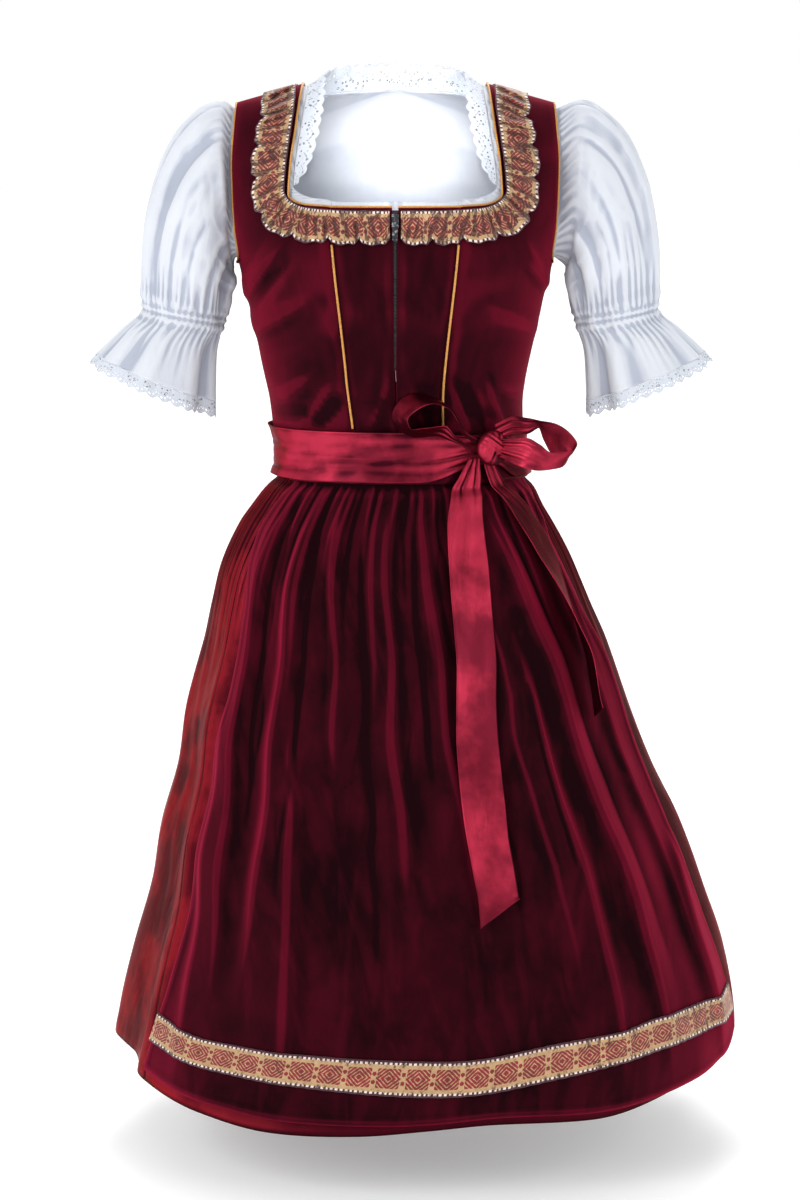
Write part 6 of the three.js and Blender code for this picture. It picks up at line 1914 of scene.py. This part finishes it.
for side, sign in SIDES.items():
    grid, length = neck_braid(sign, NECK_BRAID_FRONT, False, FRONT_BRAID_PARTS, 1.0)
    grid = facing_away(grid, TORSO_CORE)
    uv = braid_map(grid, NECK_BRAID_WIDE, along=0)
    trim = sheet(f"neck_braid_{side}_cloth", grid, BRAID_WALL, jacquard, cloth_uv=uv)
    dress_piece(trim, "jacquard", f"neck_braid_{side}")
    print("neck braid", side, "is", round(float(length[-1, 0])), "mm long on the neckline")
left_back, _ = neck_braid(1, NECK_BRAID_BACK, True, BACK_BRAID_PARTS, BACK_RUCHE)
right_back, _ = neck_braid(-1, NECK_BRAID_BACK, True, BACK_BRAID_PARTS, BACK_RUCHE)
back_braid = facing_away(np.concatenate([right_back[:-1], left_back[::-1]]), TORSO_CORE)
uv = braid_map(back_braid, NECK_BRAID_WIDE, along=0)
trim = sheet("neck_braid_back_cloth", back_braid, BRAID_WALL, jacquard, cloth_uv=uv)
dress_piece(trim, "jacquard", "neck_braid_back")

# %% [markdown]
# ## Cords and piping
# Gold cord lies on the two front seams, and finer gold piping edges the neckline and armholes.
# Both are twisted from three strands, so their section is a three-lobed shape that turns as it
# goes. That twist catches light as a real cord does, which a bump on a plain tube doesn't.

# %% Twist a cord along a line
CORD_RADIUS, PIPING_RADIUS, PIPING_CLEAR = 1.4, 1.3, 0.2
TWIST_PITCH = 7.5
CORD_SIDES, CORD_STEP = 9, 1.0


def twisted_cord(name, line, radius, closed=False):
    """A three-strand gold cord along a line of points."""
    sides = CORD_SIDES
    if closed:
        line = np.concatenate([line, line[:1]])
    at = np.concatenate([[0], np.cumsum(np.linalg.norm(np.diff(line, axis=0), axis=-1))])
    count = int(at[-1] / CORD_STEP)
    spaced = np.linspace(0, at[-1], count + 1)
    if closed:
        spaced = spaced[:-1]
    path = np.stack([np.interp(spaced, at, line[:, k]) for k in range(3)], axis=-1)
    if closed:
        tangent = np.roll(path, -1, axis=0) - np.roll(path, 1, axis=0)
    else:
        tangent = np.gradient(path, axis=0)
    tangent /= np.linalg.norm(tangent, axis=-1, keepdims=True)
    side = np.cross(tangent, [0.3, 1, 0.2])
    side /= np.linalg.norm(side, axis=-1, keepdims=True)
    up = np.cross(side, tangent)
    turns = max(1, round(at[-1] / TWIST_PITCH)) / at[-1]
    around = np.arange(sides) / sides * 2 * math.pi
    lobes = 0.86 + 0.14 * np.cos(3 * (around[None, :] - 2 * math.pi * spaced[:, None] * turns))
    ring = radius * lobes[..., None] * (
        np.cos(around)[None, :, None] * side[:, None, :] + np.sin(around)[None, :, None] * up[:, None, :]
    )
    grid = path[:, None, :] + ring
    rows = len(grid)
    faces, uv = [], []
    for i in range(rows if closed else rows - 1):
        for j in range(sides):
            k, n = (j + 1) % sides, (i + 1) % rows
            faces.append([i * sides + j, i * sides + k, n * sides + k, n * sides + j])
            for row, column in ((i, j), (i, j + 1), (i + 1, j + 1), (i + 1, j)):
                uv.append((spaced[min(row, rows - 1)] / 1000, column / sides))
    if not closed:
        faces += [list(range(sides))[::-1], [(rows - 1) * sides + j for j in range(sides)]]
        uv += [(0, 0)] * sides * 2
    return mesh_from(name, grid.reshape(-1, 3), faces, uv, gold)


# %% Lay the princess cords and the piping
CORD_FOOT_Z, CORD_TOP_Z = -362, -166


def princess_line(sign):
    lift = -(CORD_RADIUS + 0.1)
    rows = {name: finer_rows(column[:CENTRE_FRONT_COUNT], 12) for name, column in SIDE_FRONT_ROWS.items()}
    seam = torso_point(sign * torso_angle(rows["x"], rows["z"], False, lift), rows["z"], lift)
    return seam[(seam[:, 2] > CORD_FOOT_Z) & (seam[:, 2] < CORD_TOP_Z)]


def beside_edge(edge, normals, hole, closed):
    """A line for piping along a velvet edge, moved off it towards the hole that it edges."""
    if closed:
        along = np.roll(edge, -1, axis=0) - np.roll(edge, 1, axis=0)
    else:
        along = np.gradient(edge, axis=0)
    away = np.cross(normals, along)
    away /= np.linalg.norm(away, axis=-1, keepdims=True)
    towards = (away * (hole - edge)).sum(axis=-1, keepdims=True)
    off_edge = PIPING_RADIUS + PIPING_CLEAR
    return edge + np.where(towards < 0, -away, away) * off_edge - normals * VELVET_WALL / 2


for side, sign in SIDES.items():
    cord = twisted_cord(f"princess_cord_{side}_twisted", princess_line(sign), CORD_RADIUS)
    dress_piece(cord, "gold_cord", f"princess_cord_{side}")
    loop = closed_curve(armhole_loop(sign, 0), 360)
    middle = loop.mean(axis=0)
    out = loop - np.array([sign * 60, 0, -140])
    out /= np.linalg.norm(out, axis=-1, keepdims=True)
    line = beside_edge(loop, out, middle, True)
    piping = twisted_cord(f"armhole_piping_{side}_twisted", line, PIPING_RADIUS, closed=True)
    dress_piece(piping, "gold_cord", f"armhole_piping_{side}")


def neck_edge(sign):
    """The bodice's neck edge on one side, from the zip to the middle of the back."""
    top = CENTRE_FRONT_COUNT - 1
    start = float(torso_angle(ZIP_EDGE[top], SIDE_FRONT_ROWS["z"][top]))
    end = float(torso_angle(SIDE_FRONT_ROWS["x"][top], SIDE_FRONT_ROWS["z"][top]))
    across = torso_point(sign * np.linspace(start, end, 12), SIDE_FRONT_ROWS["z"][top])
    front = bodice_grids_side(sign, "side_front", top * SIDE_PARTS)
    back = bodice_grids_side(sign, "bodice_back", BACK_NECK_ROW * BACK_PARTS)[::-1]
    return np.concatenate([across, front[1:], back[1:]])


def bodice_grids_side(sign, panel, first_row):
    """The inner edge of a bodice panel from a row up to the shoulder."""
    name = next(side for side, s in SIDES.items() if s == sign)
    grid = bodice_grids[f"{panel}_{name}"][first_row:]
    off_middle = np.abs(grid[-1, (0, -1), 0] - BODY_MIDDLE_X)
    inner = 0 if off_middle[0] < off_middle[1] else -1
    return grid[:, inner]


neck_line = np.concatenate([neck_edge(-1), neck_edge(1)[::-1][1:]])
neck_out = neck_line - np.array([BODY_MIDDLE_X, 0, -260])
neck_out /= np.linalg.norm(neck_out, axis=-1, keepdims=True)
neck_route = beside_edge(neck_line, neck_out, np.array([BODY_MIDDLE_X, 0, -40]), False)
neck_piping = twisted_cord("neck_piping_twisted", neck_route, PIPING_RADIUS)
dress_piece(neck_piping, "gold_cord", "neck_piping")

# %% [markdown]
# ## Zip
# A coil zip: two woven tapes behind the velvet's edges, and between them a row of small coil
# teeth that interlock. The slider and its pull are the solid model's own, because the pull
# swings on its bar.

# %% Set in the zip
ZIP_TOP, ZIP_FOOT, TAPE_HALF, COIL_HALF = -131, -298, 10, 1.9
TAPE_BEHIND, TAPE_WALL = 3.2, 0.6
TOOTH_PITCH = 1.5

tape_x = np.linspace(-TAPE_HALF, TAPE_HALF, 21)[None, :]
tape_z = np.linspace(ZIP_TOP, ZIP_FOOT, 90)[:, None]
tape_middle = torso_point(0.0, tape_z[:, 0])
tape_across, tape_deep = tape_middle[:, None, 0] + tape_x, tape_middle[:, None, 1] + TAPE_BEHIND
tape_grid = np.stack(np.broadcast_arrays(tape_across, tape_deep, tape_z), axis=-1)
tape_grid = facing_away(tape_grid, (0, 0, -200))
tape = sheet("zip_tape_cloth", tape_grid, TAPE_WALL, zip_tape)
dress_piece(tape, "zip", "zip_tape")

TOOTH_SIDES, TOOTH_SHIFT = 6, 0.35
TOOTH_RINGS = table(
    "x behind deep tall",
    (-COIL_HALF, 2.0, 0.8, 0.52),
    (0, 1.8, 0.9, 0.58),
    (COIL_HALF, 2.0, 0.8, 0.52),
)

tooth_points, tooth_faces = [], []
for count, z in enumerate(np.arange(ZIP_FOOT + 4, ZIP_TOP - 1, TOOTH_PITCH)):
    middle = torso_point(0.0, z)
    shift = TOOTH_SHIFT if count % 2 else -TOOTH_SHIFT
    base = len(tooth_points)
    for ring in each_row(TOOTH_RINGS):
        for turn in np.arange(TOOTH_SIDES) / TOOTH_SIDES * 2 * math.pi:
            y = middle[1] + ring["behind"] + ring["deep"] * math.cos(turn)
            tooth_points.append((middle[0] + ring["x"] + shift, y, z + ring["tall"] * math.sin(turn)))
    for start in (base, base + TOOTH_SIDES):
        for k in range(TOOTH_SIDES):
            n = (k + 1) % TOOTH_SIDES
            tooth_faces.append([start + k, start + n, start + TOOTH_SIDES + n, start + TOOTH_SIDES + k])
    last = base + 2 * TOOTH_SIDES
    tooth_faces += [[base + k for k in range(TOOTH_SIDES)][::-1], [last + k for k in range(TOOTH_SIDES)]]
teeth = mesh_from("zip_coil", np.array(tooth_points), tooth_faces, None, coil)
dress_piece(teeth, "zip")

for name in ("zip_slider", "zip_pull_tab"):
    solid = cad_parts[name]
    solid.data.materials.clear()
    solid.data.materials.append(black_metal)

# %% [markdown]
# ## Cut sizes
# A table gives each piece of cloth the size it was cut to, and each sheet finds its row there.
# Velvet and cotton are cut to shape, and the skirt, apron, sleeves and laces are cut longer than
# they hang and gathered.

CUTS = {
    "centre_front": (0.068, 0.275, "stretched", 0.0155),
    "side_front": (0.190, 0.420, "stretched", 0.056),
    "bodice_back": (0.210, 0.460, "stretched", 0.078),
    "skirt_front": (0.720, 0.665, "gathered", None),
    "skirt_back": (0.700, 0.650, "gathered", None),
    "apron_braid": (0.800, 0.036, "hung", None),
    "apron_waistband": (0.300, 0.052, "stretched", None),
    "apron": (0.800, 0.645, "gathered", None),
    "tie_ribbon": (0.800, 0.053, "folded", None),
    "bow_knot": (0.046, 0.085, "folded", None),
    "bow_loop_right": (0.026, 0.220, "folded", None),
    "bow_loop_left": (0.024, 0.200, "folded", None),
    "bow_tail_front": (0.046, 0.485, "hung", None),
    "bow_tail_back": (0.043, 0.300, "hung", None),
    "blouse_front": (0.420, 0.300, "gathered", 0.086),
    "blouse_back": (0.440, 0.360, "gathered", 0.106),
    "sleeve": (0.460, 0.340, "gathered", 0.138),
    "cuff_lace": (0.460, 0.020, "gathered", None),
    "neck_lace": (0.565, 0.024, "hung", None),
    "neck_braid": (0.350, 0.034, "gathered", None),
    "zip_tape": (0.020, 0.167, "stretched", None),
}

for name, piece in pieces.items():
    if not name.endswith("_cloth"):
        continue
    cut = next(cut for cut in CUTS if name.startswith(cut))
    wide, long, held, area = CUTS[cut]
print("declared sheets:", sum(name.endswith("_cloth") for name in pieces))

# %% [markdown]
# ## Floor and light
# A plain pale floor some way below the hem, as if the garment hung on a figure. The surround
# lights the garment more from behind than from the front, as a studio's white back wall does,
# and the camera sees it plain white. Two large soft lights stand in front, a third one above and
# behind, and a narrow one shines into the neck.

# %% Light the garment
FLOOR_Z, FLOOR_REACH = -1.16, 40
floor_mesh = bpy.data.meshes.new("floor")
corners = [(x * FLOOR_REACH, y * FLOOR_REACH, FLOOR_Z) for x, y in ((-1, -1), (1, -1), (1, 1), (-1, 1))]
floor_mesh.from_pydata(corners, [], [(0, 1, 2, 3)])
floor = bpy.data.objects.new("floor", floor_mesh)
bpy.context.scene.collection.objects.link(floor)
pale, tree, shader, cloth_uv, place = new_finish("pale floor")
speck = noise_over(tree, place, 3.0, Detail=3.0)
away = add_node(tree, "ShaderNodeVectorMath", {"operation": "LENGTH"}, _0=place).outputs["Value"]
glow = blend_colours(tree, between(tree, away, 1.6, 5.0), (0.29, 0.29, 0.29, 1), (0.6, 0.6, 0.6, 1))
set_shader(
    tree, shader, Base_Color=blend_colours(tree, speck, (0.88, 0.88, 0.88, 1), (0.91, 0.91, 0.91, 1)),
    Roughness=0.9, Specular_IOR_Level=0.1, Emission_Strength=1.0,
    Emission_Color=glow,
)
floor_mesh.materials.append(pale)
floor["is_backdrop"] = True

world = bpy.data.worlds.new("surround")
world.use_nodes = True
tree = world.node_tree
way = tree.nodes.new("ShaderNodeTexCoord").outputs["Generated"]
backward = add_node(tree, "ShaderNodeSeparateXYZ", Vector=way).outputs[1]
background = tree.nodes["Background"]
background.inputs["Color"].default_value = (1.0, 1.0, 1.0, 1)
seen = tree.nodes.new("ShaderNodeLightPath").outputs["Is Camera Ray"]
lit = between(tree, backward, -0.5, 0.4, 0.42, 1.0)
tree.links.new(sums(tree, "MAXIMUM", lit, seen), background.inputs["Strength"])
bpy.context.scene.world = world
bpy.context.scene.view_settings.view_transform = "Standard"


def soft_light(name, place, target, size, power, spread=180):
    data = bpy.data.lights.new(name, "AREA")
    data.shape, data.size, data.size_y, data.energy = "RECTANGLE", size, size * 1.4, power
    data.spread = math.radians(spread)
    light = bpy.data.objects.new(name, data)
    bpy.context.scene.collection.objects.link(light)
    light.location = place
    direction = np.array(target, float) - np.array(place, float)
    light.rotation_euler = (
        math.atan2(math.hypot(direction[0], direction[1]), -direction[2]),
        0,
        math.atan2(direction[1], direction[0]) - math.pi / 2,
    )
    return light


soft_light("left front", (-2.2, -2.4, 1.1), (0, 0, -0.5), 1.3, 62)
soft_light("right front", (2.4, -2.2, 0.6), (0, 0, -0.5), 1.5, 36)
soft_light("into the neck", (0.0, -1.7, 0.10), (0, 0.09, -0.06), 0.05, 0.13, 7)
soft_light("above behind", (0.3, 2.0, 1.9), (0, 0, -0.4), 1.6, 60)

# %% [markdown]
# ## Size of the dressed garment
# The dressed garment must keep the size of the solid model, so its box is printed.

# %% Print the size and finish
print("triangles:", sum(len(o.data.polygons) for o in pieces.values()) * 4)
low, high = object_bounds()
print("dressed garment reaches from", low, "to", high)
